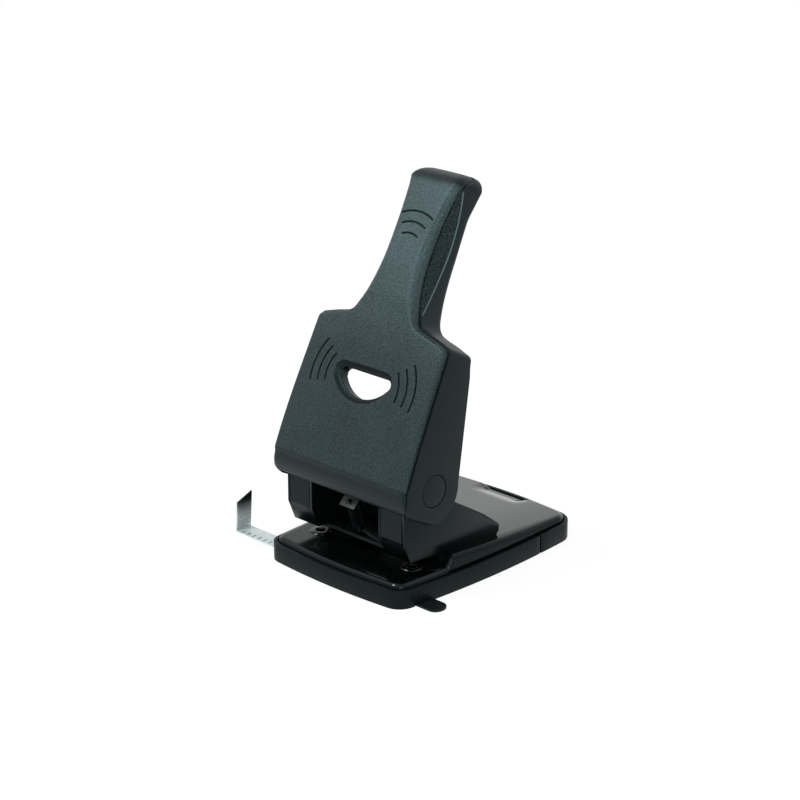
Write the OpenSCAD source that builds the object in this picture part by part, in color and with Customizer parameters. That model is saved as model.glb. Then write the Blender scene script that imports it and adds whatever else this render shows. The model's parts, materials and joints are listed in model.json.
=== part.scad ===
// Heavy-duty two-hole punch with a long rear-pressed lever.
// X is across the paper, Y runs from the paper side to the rear, Z is up.
// The origin lies on the desk, under the middle of the row of punches.

/* [Punching] */
// Distance between the two holes
hole_pitch = 80; // [70:0.5:86]
// Diameter of a punch pin
pin_d = 5.9; // [5:0.1:6.5]
// Running clearance round a pin and round the shaft, on the radius
run_fit = 0.05; // [0.02:0.01:0.08]
// Height of a pin's tip above the desk at rest
pin_tip_z = 25.2; // [25:0.1:27]
// Height of the middle of a pin's domed head at rest
head_z = 46.5; // [45:0.5:49]
// Radius of the domed head
head_r = 6.5; // [5.5:0.1:6.8]
// Radius of the spring plate under the dome
head_plate_r = 8; // [7:0.1:8.4]
// Travel of a pin for each radian of the lever
cam_rate = 10; // [8:0.5:10]
// Full stroke of the lever in degrees
lever_stroke = 62; // [45:1:62]
// Distance from the hole centres back to the paper stop
stop_depth = 12; // [10:0.5:14]

/* [Base] */
// Width of the pan at its corners
base_w = 118; // [112:1:130]
// Distance from the punches to the pan's front corners
base_front = 29.7; // [28:0.5:36]
// Distance from the punches to the pan's rear corners
base_rear = 134.9; // [125:1:150]
// Bow of the front and rear edges
bow_end = 2.4; // [1:0.2:4]
// Bow of the side edges
bow_side = 3.4; // [1:0.2:5]
// Radius of the front corners
front_corner = 11.5; // [8:0.5:16]
// Radius of the rear corners
rear_corner = 16; // [10:0.5:20]
// Height of the pan's wall
pan_h = 12; // [11:0.5:14]
// Thickness of the pan's wall
pan_wall = 2.2; // [1.6:0.1:2.6]
// Thickness of the pan's floor
pan_floor = 2; // [1.6:0.1:2.2]
// Distance from the punches to the seam of the drawer
seam_y = 95.8; // [80:1:105]
// Height of the deck in the paper throat
deck_z = 15; // [14.5:0.1:15.2]
// Height of the deck just behind the paper stop
ridge_z = 22.6; // [22:0.1:23]
// Fall of the rear deck for each millimetre
deck_fall = 0.066; // [0.04:0.002:0.07]
// Sheet thickness of the deck
deck_t = 1.5; // [1:0.1:2]
// Radius of the deck's edge
deck_edge = 3.6; // [2:0.1:4]
// Depth of the finger dip in the deck's rear edge
dip_depth = 3.4; // [2:0.1:4]
// Width of the finger dip
dip_w = 44; // [30:1:60]
// Gap between the deck and the pan's wall
deck_gap = 0.8; // [0.5:0.1:1.5]

/* [Towers] */
// Outer width over both towers
towers_w = 101.7; // [100:0.1:102.5]
// Width of one tower
tower_w = 21.7; // [21:0.1:23]
// Sheet thickness of the towers
tower_t = 2; // [1.5:0.1:2.2]
// Distance from the punches to the towers' front face
tower_front = 17.7; // [17:0.1:18.2]
// Height at which the towers' front turns in
chamfer_z = 38.2; // [36:0.2:42]
// Distance that the front turns in at the throat
chamfer_in = 5.5; // [4:0.1:6]
// Height of the towers' front plate
front_top_z = 59; // [55:0.5:60]
// Distance from the punches to the end of the rear wing
wing_y = 67.5; // [60:0.5:72]

/* [Lever] */
// Distance from the punches to the lever's pivot
pivot_y = 1; // [0:0.1:2]
// Height of the lever's pivot
pivot_z = 69.5; // [69:0.1:71]
// Diameter of the pivot shaft
shaft_d = 8; // [7:0.1:8.4]
// Lean of the lever at rest in degrees
lever_lean = 27; // [24:0.5:29]
// Length of the lever from its pivot
lever_len = 188; // [184:1:200]
// Half width of the lever at its pivot
lever_half = 58.2; // [57.6:0.1:60]
// Half width of the lever at its shoulders
shoulder_half = 55.4; // [54:0.1:56]
// Height of the shoulders along the lever
shoulder_t = 84; // [82:0.5:86]
// Least half width of the neck
neck_half = 17.5; // [15:0.1:18]
// Height of the narrowest part of the neck along the lever
neck_t = 133; // [128:1:138]
// Greatest distance of the front face from the pivot
face_n = 30.5; // [30:0.1:31]
// Fall of the front face from its middle to its side edges
face_crown = 3.2; // [2:0.1:3.4]
// Radius of the bow of the front face below its highest place
face_bow = 1100; // [1000:10:1200]
// Radius of the bow of the front face above its highest place
handle_bow = 590; // [500:10:700]
// Distance from the pivot to the bottom of the lever
foot_r = 21.5; // [21.3:0.1:21.8]
// Distance from the pivot forward to the seam between cover and housing
seam_n = 23.3; // [23:0.1:23.6]
// Step from the housing's edge in to the cover's edge
cover_step = 1.5; // [1:0.1:2]
// Wall of the rear housing
housing_wall = 2.6; // [2:0.1:2.8]
// Width of the window in the cover
window_w = 42; // [34:1:46]
// Height of the window in the cover
window_h = 16; // [12:0.5:18]
// Height of the window's flat upper edge along the lever
window_t = 54.5; // [52:0.5:56]
// Diameter of the pivot caps
cap_d = 20; // [16:0.5:22]
// Thickness of the soft inlays in the handle
grip_t = 1.2; // [0.8:0.1:1.6]

/* [Drawer and guide] */
// Half width of the drawer's box
drawer_half = 46; // [45.5:0.1:46]
// Width of the paper guide's strip
strip_w = 12.1; // [10:0.1:12.4]
// Thickness of the paper guide's strip
strip_t = 1; // [0.8:0.1:1.2]
// Distance from the punches to the front edge of the strip
strip_y = 24.5; // [24:0.1:25]
// Height of the strip's underside
strip_z = 5.8; // [5.6:0.1:6.4]
// Distance from the middle to the guide's stop, as photographed
stop_x = 93.5; // [92:0.5:98]
// Height of the guide's stop above the desk at its front
stop_front_z = 25.7; // [22:0.1:28]
// Height of the guide's stop above the desk at its rear
stop_rear_z = 30.7; // [28:0.1:32]
// Width of the lock tab
tab_w = 13.2; // [10:0.1:14]
// Reach of the lock tab past the middle
tab_x = 76; // [74:0.5:80]

/* [Hidden] */
$fn = 48;
seat = 0.1;
gap = 0.3;
eps = 0.01;
pin_r = pin_d / 2;
pin_x = hole_pitch / 2;
bore_r = pin_r + run_fit;
shaft_r = shaft_d / 2;
towers_x = towers_w / 2;
inner_x = towers_x - tower_w;
deck_in = pan_wall + deck_gap;
skirt_z = pan_h - 3;
throat_z = deck_line(-tower_front + chamfer_in) + seat;
guide_top_z = throat_z + 7.3;

// Rivets of the towers: through the feet, and through the inner plates as [y, z]
rivet_r = 2;
rivet_y = [31, 41];
side_rivets = [[16, 32], [16, 43]];
side_rivet_r = 1.5;
hub_r = 13.5;

// Small helpers
function lerp(a, b, u) = a + (b - a) * u;
function smooth(u) = u <= 0 ? 0 : u >= 1 ? 1 : u * u * (3 - 2 * u);
function arc(cx, cy, r, a0, a1, n) =
    [for (i = [0:n]) let (a = lerp(a0, a1, i / n)) [cx + r * cos(a), cy + r * sin(a)]];
function turn(p, a) = [p.x * cos(a) - p.y * sin(a), p.x * sin(a) + p.y * cos(a)];
function unit(v) = v / norm(v);
module both() {
    children();
    mirror([1, 0, 0]) children();
}
// Moves from the lever's own frame, with the pivot at its origin, to the object's frame
module on_lever() {
    translate([0, pivot_y, pivot_z]) rotate([-lever_lean, 0, 0]) children();
}
// Turns a plan drawn across and along the lever so that its height points forward
module as_face() {
    on_lever() rotate([90, 0, 0]) children();
}
// Extrudes a side view, drawn in Y and Z, from x0 to x1
module slab(x0, x1) {
    translate([x0, 0, 0]) rotate([90, 0, 90]) linear_extrude(x1 - x0) children();
}

// Moulded body over a plan that is mirrored in X. The plan is its right half, from the middle
// of one end to the middle of the other. The top edge is rounded with quarter arcs of the
// radius that the function rt gives at each place, and the lower edge with those of rb, which
// may be 0.
rings = 3;
mid = 3;
function inward(s, i) =
    let (a = s[max(i - 1, 0)], b = s[min(i + 1, len(s) - 1)])
    i == 0 ? [0, 1] : i == len(s) - 1 ? [0, -1] : unit([-(b - a).y, (b - a).x]);
function rim(s, i, r, h, up) =
    [for (k = [0:(r(s[i].y) > 0 ? rings : 0)])
        let (a = 90 * k / rings, q = r(s[i].y),
            p = s[i] + q * (1 - cos(a)) * inward(s, i))
        [p.x, p.y, h(p.x, p.y) - up * q * (1 - sin(a))]];
function across(p, h) =
    [for (k = [1:mid]) let (x = p.x * (1 - 2 * k / (mid + 1))) [x, p.y, h(x, p.y)]];
function flipped(v) = [for (i = [len(v) - 1:-1:0]) v[i]];
function other(v) = [for (p = v) [-p.x, p.y, p.z]];
function ring_of(s, i, h, l, rt, rb) =
    let (t = rim(s, i, rt, h, 1), b = rim(s, i, rb, l, -1))
    concat(t, across(t[len(t) - 1], h), flipped(other(t)),
        other(b), flipped(across(b[len(b) - 1], l)), flipped(b));
module moulded(s, h, l, rt, rb) {
    kt = rings;
    kb = rb(s[0].y) > 0 ? rings : 0;
    n = len(s);
    top = 2 * (kt + 1) + mid;
    m = top + 2 * (kb + 1) + mid;
    points = [for (i = [0:n - 1]) each ring_of(s, i, h, l, rt, rb)];
    walls = [for (i = [0:n - 2], j = [0:m - 1])
        [i * m + j, i * m + (j + 1) % m, (i + 1) * m + (j + 1) % m, (i + 1) * m + j]];
    cap = concat(
        [for (k = [0:1:kt - 2]) [k, top - 1 - k, top - 2 - k, k + 1]],
        [concat([kt - 1, top - kt], [for (j = [top - 1 - kt:-1:kt]) j])],
        [for (k = [0:1:kb - 2]) [top + k, m - 1 - k, m - 2 - k, top + k + 1]],
        kb > 0 ? [concat([top + kb - 1, m - kb], [for (j = [m - 1 - kb:-1:top + kb]) j]),
            [0, m - 1, top, top - 1]]
            : [concat([0], [for (j = [m - 1:-1:top]) j], [top - 1])]);
    polyhedron(points = points, faces = concat(walls, cap,
        [for (f = cap) [for (i = [0:len(f) - 1]) f[(len(f) - i) % len(f)] + (n - 1) * m]]));
}

// Plan of the base, drawn in by d from the pan's outer edge
front_n = 5;
corner_n = 5;
side_u = [0, 0.07, 0.14, 0.2, 0.26, 0.28, 0.29, 0.3, 0.31, 0.32, 0.33, 0.34, 0.36, 0.42, 0.5,
    0.6, 0.7, 0.8, 0.9, 1];
function bowed(a, b, bow, u) =
    lerp(a, b, u) + 4 * bow * u * (1 - u) * unit([(b - a).y, -(b - a).x]);
function half_plan(d) =
    let (w = base_w / 2, fc = [w - front_corner, -base_front + front_corner],
        rc = [w - rear_corner, base_rear - rear_corner],
        fr = front_corner - d, rr = rear_corner - d,
        tf = atan(4 * bow_end / (2 * fc.x)),
        ts = atan(4 * bow_side / (rc.y - fc.y)))
    concat(
        [for (i = [0:front_n - 1])
            bowed([-fc.x, fc.y - fr], [fc.x, fc.y - fr], bow_end, 0.53 + 0.47 * i / front_n)],
        arc(fc.x, fc.y, fr, -90 + tf, -ts, corner_n),
        [for (u = side_u) if (u > 0 && u < 1)
            bowed([w - d, fc.y], [w - d, rc.y], bow_side, u)],
        arc(rc.x, rc.y, rr, ts, 90 - tf, corner_n),
        [for (i = [front_n - 1:-1:0])
            bowed([rc.x, rc.y + rr], [-rc.x, rc.y + rr], bow_end, 0.47 - 0.47 * i / front_n)]);
function full_plan(d) = let (s = half_plan(d)) concat(s, [for (p = flipped(s)) [-p.x, p.y]]);
module plan(d) { polygon(full_plan(d)); }

// Height of the deck: flat throat, S-shaped paper stop, falling rear with a finger dip
function deck_line(y) = ridge_z - deck_fall * (y - stop_depth - 7);
function dip(x, y) =
    dip_depth * smooth(1 - abs(2 * x / dip_w)) * smooth((y - base_rear + 20) / 18);
function deck_top(x, y) =
    lerp(deck_z, deck_line(y), smooth((y - stop_depth) / 7)) - dip(x, y);

module base_tray() {
    color("#1b1d1f") difference() {
        union() {
            linear_extrude(pan_h) difference() { plan(0); plan(pan_wall); }
            linear_extrude(skirt_z - seat) difference() { plan(pan_wall - eps); plan(5.6); }
            linear_extrude(pan_floor) plan(pan_wall - eps);
            for (x = [-1, 1]) {
                for (p = screw_places) translate([x * p.x, p.y, eps])
                    cylinder(h = deck_line(p.y) - deck_t - 2 * seat, r = 3.6);
                translate([x * 30 - 0.8, -8, eps]) cube([1.6, seam_y - gap + 8, runner_z]);
            }
            translate([lock_x0 - 6, -tab_y - lock_lip - 1.7, eps])
                cube([lock_x1 - lock_x0 + 11, tab_w + 2 * lock_lip + 3.4, tab_roof_z + 1.4]);
        }
        translate([-base_w, seam_y - gap, -1]) cube([2 * base_w, base_rear, 2 * pan_h]);
        translate([-base_w, -strip_y - gap, strip_z - gap])
            cube([base_w, strip_w + 2 * gap, strip_t + 2 * gap]);
        translate([-channel_x - gap, -strip_y - 1 - 2 * gap, channel_z - gap])
            cube([channel_x + strip_in + guide_in + 1, strip_w + 2 + 4 * gap, pan_h]);
        translate([lock_x0 - 4, -tab_y - gap, -1]) cube([60, tab_w + 2 * gap, tab_roof_z + 1]);
        translate([lock_x0 - 4, -tab_y - lock_lip - gap, lock_lip_z - gap])
            cube([lock_x1 - lock_x0 + 8, tab_w + 2 * lock_lip + 2 * gap,
                tab_roof_z - lock_lip_z + gap]);
        for (x = [-1, 1], p = screw_places) translate([x * p.x, p.y, -1]) {
            cylinder(h = 30, r = 1.6);
            cylinder(h = 1 + screw_head, r = 3.1);
        }
        for (p = pad_places) translate([p.x, p.y, -1]) cylinder(h = 1 + pad_t, r = 6.1);
    }
}
screw_places = [[50, 34], [50, 84]];
screw_head = 1.4;
runner_z = 4;
channel_x = 52;
guide_in = 24;
channel_z = strip_z - gap - 1;
tab_y = 16.4;
tab_roof_z = 2.3;
lock_lip = 1.2;
lock_lip_z = 1.2;
lock_x0 = 24;
lock_x1 = 48;

// Rubber pads, let into the pan's floor
pad_t = 1;
pad_places = [[-46, -14], [46, 8], [-46, 70], [46, 70]];
module tray_pads() {
    color("#141414") for (p = pad_places) translate([p.x, p.y, 0]) cylinder(h = pad_t, r = 6);
}
module tray_screws() {
    color("#8a8c8e") for (x = [-1, 1], p = screw_places) translate([x * p.x, p.y, 0.2]) {
        cylinder(h = screw_head - 0.2 - seat, r = 2.9);
        cylinder(h = deck_line(p.y) - deck_t - seat - 0.2, r = 1.5);
    }
}
module base_plate() {
    low = function(x, y) skirt_z;
    edge = function(y) deck_edge;
    none = function(y) 0;
    top = function(x, y) deck_top(x, y);
    under = function(x, y) deck_top(x, y) - deck_t;
    below = function(x, y) skirt_z - 1;
    inner_edge = function(y) deck_edge - deck_t;
    color("#0c0d0f") difference() {
        moulded(half_plan(deck_in), top, low, edge, none);
        moulded(half_plan(deck_in + deck_t), under, below, inner_edge, none);
        for (x = [-1, 1]) {
            translate([x * pin_x, 0, 0]) cylinder(h = 40, r = die_r + run_fit);
            for (y = rivet_y) translate([x * pin_x, y, 0]) cylinder(h = 40, r = rivet_r + run_fit);
        }
    }
}

// Hardened dies, pressed into the deck, with a raised collar
die_r = 5;
die_drop = 3.2;
die_collar_r = 7.2;
module dies() {
    color("#55585a") for (x = [-1, 1]) translate([x * pin_x, 0, 0]) rotate_extrude()
        polygon([[bore_r, deck_z - die_drop], [die_r, deck_z - die_drop],
            [die_r, deck_z + run_fit], [die_collar_r, deck_z + run_fit],
            [die_collar_r - 0.6, deck_z + 0.7],
            [bore_r + 0.5, deck_z + 0.7], [bore_r, deck_z + 0.3]]);
}

// Side views of a tower's outer and inner plate
function tower_line(y) = deck_line(y) + seat;
function front_edge(top) = [[-tower_front, top], [-tower_front, chamfer_z],
    [-tower_front + chamfer_in, throat_z]];
module outer_side() {
    polygon(concat(front_edge(front_top_z),
        [[wing_y - 2.4, tower_line(wing_y)], [wing_y - 0.2, tower_line(wing_y) + 2.6]],
        arc(wing_y - 3.4, tower_line(wing_y) + 5.2, 3.4, -8, 40, 3),
        [[54, 36.6], [40, 45.2], [26.5, 53.2], [pivot_y + hub_r, pivot_z - 6]],
        arc(pivot_y, pivot_z, hub_r, 0, 150, 14)));
}
module inner_side() {
    polygon(concat(front_edge(front_top_z),
        [[46, tower_line(46)], [46, tower_line(46) + 6], [20, 50],
            [pivot_y + hub_r, pivot_z - 6]],
        arc(pivot_y, pivot_z, hub_r, 0, 150, 14)));
}
foot_y = [24, 60];
module tower() {
    color("#17191b") difference() {
        union() {
            slab(towers_x - tower_t, towers_x) outer_side();
            slab(inner_x, inner_x + tower_t) inner_side();
            // Front plate with its turned-in lower edge
            slab(inner_x + tower_t - eps, towers_x - tower_t + eps) polygon(concat(
                front_edge(front_top_z), [[-tower_front + chamfer_in + tower_t, throat_z],
                    [-tower_front + tower_t, chamfer_z + 0.4], [-tower_front + tower_t, front_top_z]]));
            // Plate that carries the pin's bush
            translate([inner_x + tower_t - eps, -tower_front + chamfer_in, throat_z])
                cube([tower_w - 2 * tower_t + 2 * eps, 30, tower_t]);
            // Foot, riveted to the deck
            slab(inner_x + tower_t - eps, towers_x - tower_t + eps) polygon([
                [foot_y[0], tower_line(foot_y[0])], [foot_y[1], tower_line(foot_y[1])],
                [foot_y[1], tower_line(foot_y[1]) + tower_t],
                [foot_y[0], tower_line(foot_y[0]) + tower_t]]);
        }
        translate([0, pivot_y, pivot_z]) rotate([0, 90, 0])
            cylinder(h = base_w, r = shaft_r + run_fit);
        translate([pin_x, 0, 0]) cylinder(h = 40, r = bush_r + 0.02);
        for (y = rivet_y) translate([pin_x, y, 0]) cylinder(h = 40, r = rivet_r + run_fit);
        for (p = side_rivets) translate([0, p.x, p.y]) rotate([0, 90, 0])
            cylinder(h = inner_x + 6, r = side_rivet_r + run_fit);
    }
}
module tower_right() { tower(); }
module tower_left() { mirror([1, 0, 0]) tower(); }

// Bushes that guide the pins
bush_r = 4.5;
module bush() {
    color("#6d7073") translate([pin_x, 0, 0]) difference() {
        translate([0, 0, throat_z]) cylinder(h = guide_top_z - throat_z, r = bush_r);
        cylinder(h = 60, r = bore_r);
    }
}
module guide_right() { bush(); }
module guide_left() { mirror([1, 0, 0]) bush(); }

// Plate over the throat and up behind it, which ties the towers together
web_y = 23;
cheek_y = 11;
web_top_z = 50;
anchor_y = -3.5;
module cross_plate() {
    color("#131416") difference() {
        union() {
            slab(-inner_x + seat, inner_x - seat) polygon([[-8, throat_z], [web_y, throat_z],
                [web_y, web_top_z], [web_y - tower_t, web_top_z],
                [web_y - tower_t, throat_z + tower_t], [-8, throat_z + tower_t]]);
            both() slab(inner_x - seat - tower_t, inner_x - seat) polygon([
                [cheek_y, throat_z + eps], [web_y - eps, throat_z + eps],
                [web_y - eps, web_top_z], [cheek_y, web_top_z - 6]]);
        }
        for (p = side_rivets) translate([-inner_x, p.x, p.y]) rotate([0, 90, 0])
            cylinder(h = 2 * inner_x, r = side_rivet_r + run_fit);
        translate([0, anchor_y, 0]) cylinder(h = 40, r = 1.3);
    }
}
module tower_rivets() {
    color("#75787a") both() {
        for (y = rivet_y) translate([pin_x, y, tower_line(y)]) {
            translate([0, 0, -deck_t - 1]) cylinder(h = deck_t + tower_t + 2, r = rivet_r);
            translate([0, 0, tower_t + 0.25]) cylinder(h = 1.3, r1 = 3.4, r2 = 2.4);
            translate([0, 0, -deck_t - 1.6]) cylinder(h = 1.2, r1 = 2.4, r2 = 3.2);
        }
        for (p = side_rivets) translate([inner_x, p.x, p.y]) rotate([0, 90, 0]) {
            translate([0, 0, -seat - tower_t - 1.3]) cylinder(h = 1.2, r1 = 2, r2 = 2.8);
            translate([0, 0, -seat - tower_t - 0.6])
                cylinder(h = 2 * tower_t + 1.2, r = side_rivet_r);
            translate([0, 0, tower_t + seat]) cylinder(h = 1.2, r1 = 2.8, r2 = 2);
        }
    }
}

// Sheet channel under the deck, which the paper guide slides in
module guide_channel() {
    y0 = -strip_y - gap;
    y1 = y0 + strip_w + 2 * gap;
    top = deck_z - deck_t - seat;
    front_top = skirt_z - seat;
    color("#8f9294") translate([-channel_x, 0, 0]) rotate([90, 0, 90])
        linear_extrude(2 * channel_x - 8) polygon([[y0 - 1, channel_z],
            [y1 + 1, channel_z], [y1 + 1, top], [y1, top], [y1, strip_z - gap],
            [y0, strip_z - gap], [y0, front_top], [y0 - 1, front_top]]);
}
module pivot_shaft() {
    color("#7c7f82") translate([-shaft_end, pivot_y, pivot_z]) rotate([0, 90, 0])
        rotate_extrude() polygon([[0, 0], [shaft_r - 0.4, 0], [shaft_r, 0.4],
            [shaft_r, 1.6], [clip_r, 1.6], [clip_r, 2.6], [shaft_r, 2.6],
            [shaft_r, 2 * shaft_end - 2.6], [clip_r, 2 * shaft_end - 2.6],
            [clip_r, 2 * shaft_end - 1.6], [shaft_r, 2 * shaft_end - 1.6],
            [shaft_r, 2 * shaft_end - 0.4], [shaft_r - 0.4, 2 * shaft_end], [0, 2 * shaft_end]]);
}
shaft_end = towers_x + 4;
clip_r = shaft_r - 0.8;
// Open clips in the grooves of the shaft
module shaft_clips() {
    color("#5c5f61") both() translate([shaft_end - 2.55, pivot_y, pivot_z]) rotate([0, 90, 0])
        difference() {
            cylinder(h = 0.9, r = shaft_r + 2.4);
            translate([0, 0, -1]) cylinder(h = 3, r = clip_r + run_fit);
            translate([-clip_r + 0.3, 0, -1]) cube([2 * clip_r - 0.6, 20, 3]);
        }
}

// Drawer: the pan's rear quarter and a chip box that reaches under the dies
box_front = -10.8;
box_floor = runner_z + seat;
box_top = skirt_z - gap;
module chip_drawer() {
    wall = 1.2;
    step_y = seam_y + 1.5;
    color("#1b1d1f") {
        difference() {
            union() {
                linear_extrude(pan_h) difference() { plan(0); plan(pan_wall); }
                linear_extrude(pan_floor) plan(pan_wall - eps);
            }
            translate([-base_w, -base_rear, -1]) cube([2 * base_w, base_rear + seam_y + 1, 40]);
        }
        translate([-drawer_half, step_y - wall, pan_floor - eps])
            cube([2 * drawer_half, wall, box_floor + wall - pan_floor]);
        difference() {
            translate([-drawer_half, box_front, box_floor])
                cube([2 * drawer_half, step_y - box_front, box_top - box_floor]);
            translate([-drawer_half + wall, box_front + wall, box_floor + wall])
                cube([2 * drawer_half - 2 * wall, step_y - box_front - 2 * wall, 20]);
        }
        for (x = [-1, 1]) translate([x * (drawer_half + 0.2) - 0.8, step_y - 4, box_floor])
            cube([1.6, 18, 4]);
    }
}

// Strip with an upright stop, bent from one blank
strip_in = 24.5;
module paper_guide() {
    y0 = -strip_y;
    color("#c9cccd") {
        difference() {
            translate([-stop_x, y0, strip_z]) cube([stop_x + strip_in, strip_w, strip_t]);
            translate([-stop_x + 33, y0 + 4, 0]) cylinder(h = 20, r = 1.2);
        }
        slab(-stop_x, -stop_x + strip_t) polygon([[y0, strip_z + eps],
            [y0 + strip_w, strip_z + eps], [y0 + strip_w + 1.6, stop_rear_z],
            [y0 + 1.4, stop_front_z]]);
    }
}
module guide_lock() {
    r = 6;
    color("#111213") {
        translate([0, 0, gap]) linear_extrude(tab_roof_z - 2 * gap) polygon(concat(
            [[lock_x0, -tab_y]], arc(tab_x - r, -tab_y + r, r, -90, 0, 6),
            arc(tab_x - r, -tab_y + tab_w - r, r, 0, 90, 6), [[lock_x0, -tab_y + tab_w]]));
        translate([lock_x0, -tab_y - lock_lip, lock_lip_z])
            cube([lock_x1 - lock_x0, tab_w + 2 * lock_lip, tab_roof_z - lock_lip_z - gap]);
    }
}

// Punch pin with a hollow-ground tip, a spring plate and a domed head
plate_z = head_z + 1;
module pin() {
    dome_a = asin((plate_z + 2 - head_z) / head_r);
    color("#9b9ea0") translate([pin_x, 0, 0]) difference() {
        rotate_extrude() polygon(concat([[0, pin_tip_z], [pin_r, pin_tip_z], [pin_r, plate_z],
            [head_plate_r, plate_z], [head_plate_r, plate_z + 2]],
            arc(0, head_z, head_r, dome_a, 90, 10)));
        translate([-pin_r - 1, 0, pin_tip_z - 1.2]) rotate([0, 90, 0])
            cylinder(h = 2 * pin_r + 2, r = 2.2);
    }
}
module pin_right() { pin(); }
module pin_left() { mirror([1, 0, 0]) pin(); }

// Wire springs, wound as one unbroken tube of six sides
function coil(r, z0, z1, turns, per) =
    [for (i = [0:turns * per]) let (a = 360 * i / per)
        [r * cos(a), r * sin(a), lerp(z0, z1, i / (turns * per))]];
function along(p, i) = unit(p[min(i + 1, len(p) - 1)] - p[max(i - 1, 0)]);
module wire(p, r, up) {
    sides = 6;
    n = len(p);
    points = [for (i = [0:n - 1])
        let (d = along(p, i), u = unit(cross(d, up(i))), v = cross(d, u))
        for (k = [0:sides - 1]) p[i] + r * (cos(60 * k) * u + sin(60 * k) * v)];
    polyhedron(points = points, faces = concat(
        [for (i = [0:n - 2], k = [0:sides - 1]) each let (a = i * sides + k,
            b = i * sides + (k + 1) % sides) [[a, b, b + sides], [a, b + sides, a + sides]]],
        [[for (k = [sides - 1:-1:0]) k]], [[for (k = [0:sides - 1]) (n - 1) * sides + k]]));
}
pin_wire = 0.6;
pin_coil_r = bush_r + pin_wire + 0.9;
pin_turns = 5;
module pin_spring() {
    z0 = throat_z + tower_t + pin_wire + seat;
    z1 = plate_z - pin_wire - seat;
    color("#55585a") translate([pin_x, 0, 0])
        wire(coil(pin_coil_r, z0, z1, pin_turns, 8), pin_wire, function(i) [0, 0, 1]);
}
module spring_right() { pin_spring(); }
module spring_left() { mirror([1, 0, 0]) pin_spring(); }

// Distance from the pivot forward to the plane in which the cams' arms meet the yoke
arm_front_n = 13.8;
hook_rivet_t = [19, 26];

// Path of the strip that carries the spring's tab, as distances forward and along the lever
hook_w = 12.6;
hook_t = 1.4;
hook_hole_t = -23;
hook_n = arm_front_n - hook_t / 2;
hook_path = [[hook_n, 30], [hook_n, 13], [6.8, 2.5], [3, -10], [2.6, -19], [4.9, -27.4]];

// Return spring from the lever's tab down to the cross plate
pull_wire = 0.5;
pull_r = 3.2;
pull_turns = 11;
pull_gap = 0.46;
pull_len = pull_turns * (2 * pull_wire + pull_gap);
function lever_point(t, n) = [0, pivot_y + t * sin(lever_lean) - n * cos(lever_lean),
    pivot_z + t * cos(lever_lean) + n * sin(lever_lean)];
pull_top = lever_point(hook_hole_t, hook_path[4][0] + 0.4);
pull_foot = [0, anchor_y, throat_z + tower_t / 2];
module return_spring() {
    d = pull_top - pull_foot;
    lead = (norm(d) - pull_len) / 2;
    path = concat([[0, 0, 0], [0, 0, lead * 0.45], [pull_r * 0.6, 0, lead * 0.8]],
        coil(pull_r, lead, lead + pull_len, pull_turns, 8),
        [[pull_r * 0.6, 0, norm(d) - lead * 0.8], [0, 0, norm(d) - lead * 0.45], [0, 0, norm(d)]]);
    color("#3c3e40") translate(pull_foot) rotate([-atan2(d.y, d.z), 0, 0])
        wire(path, pull_wire, function(i) i < 3 || i > len(path) - 4 ? [0, 1, 0] : [0, 0, 1]);
}
least_gap = min([for (p = [[pin_coil_r, (plate_z - throat_z - tower_t - 2 * pin_wire - 2 * seat)
    / pin_turns, pin_wire], [pull_r, pull_len / pull_turns, pull_wire]]) p[1] - 2 * p[2]]);
echo(str("least gap of a spring to itself: ", least_gap));

// Bent strip inside the lever, which ends in the tab that pulls the spring
function side_shift(p, i, d) =
    let (a = p[max(i - 1, 0)], b = p[min(i + 1, len(p) - 1)], v = unit(b - a))
    p[i] + d * [-v.y, v.x];
module spring_hook() {
    n = len(hook_path);
    band = concat([for (i = [0:n - 1]) side_shift(hook_path, i, hook_t / 2)],
        [for (i = [n - 1:-1:0]) side_shift(hook_path, i, -hook_t / 2)]);
    color("#b9bdbf") on_lever() difference() {
        slab(-hook_w / 2, hook_w / 2) polygon([for (p = band) [-p.x, p.y]]);
        translate([0, -20, hook_hole_t]) rotate([-90, 0, 0]) cylinder(h = 40, r = 1.6);
        for (t = hook_rivet_t) translate([0, -20, t]) rotate([-90, 0, 0])
            cylinder(h = 40, r = side_rivet_r + run_fit);
    }
}

// Cam whose outline drives the domed head at a constant rate. The follower's centre keeps
// the distance rest_drop + cam_rate * angle below the pivot, and the outline lies one head
// radius inside the path that this centre draws on the cam.
rest_drop = pivot_z - head_z;
function follower(a) =
    turn([-pivot_y, -(rest_drop + cam_rate * max(0, a) * PI / 180)], a);
function cam_point(a) =
    let (v = follower(a + 0.5) - follower(a - 0.5))
    follower(a) + (head_r + cam_fit) * unit([-v.y, v.x]);
cam_fit = 0.08;
cam_t = 8;
cam_hub_r = 12.5;
arm_top_t = 60;
module cam() {
    color("#84878a") difference() {
        translate([0, pivot_y, pivot_z]) slab(pin_x - cam_t / 2, pin_x + cam_t / 2)
            polygon(concat([for (i = [-6:33]) cam_point(i * 2)],
                arc(0, 0, cam_hub_r, 14, 32, 4),
                [for (p = [[0, 30], [-4, arm_top_t], [-arm_front_n, arm_top_t],
                    [-arm_front_n, 18]]) turn(p, -lever_lean)],
                arc(0, 0, cam_hub_r, 128, 242, 19)));
        translate([0, pivot_y, pivot_z]) rotate([0, 90, 0])
            cylinder(h = base_w, r = shaft_r + run_fit);
        on_lever() for (t = yoke_rivet_t) translate([pin_x, -arm_front_n - 1, t])
            rotate([-90, 0, 0]) cylinder(h = 8, r = 1.85);
    }
}
module cam_right() { cam(); }
module cam_left() { mirror([1, 0, 0]) cam(); }

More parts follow.
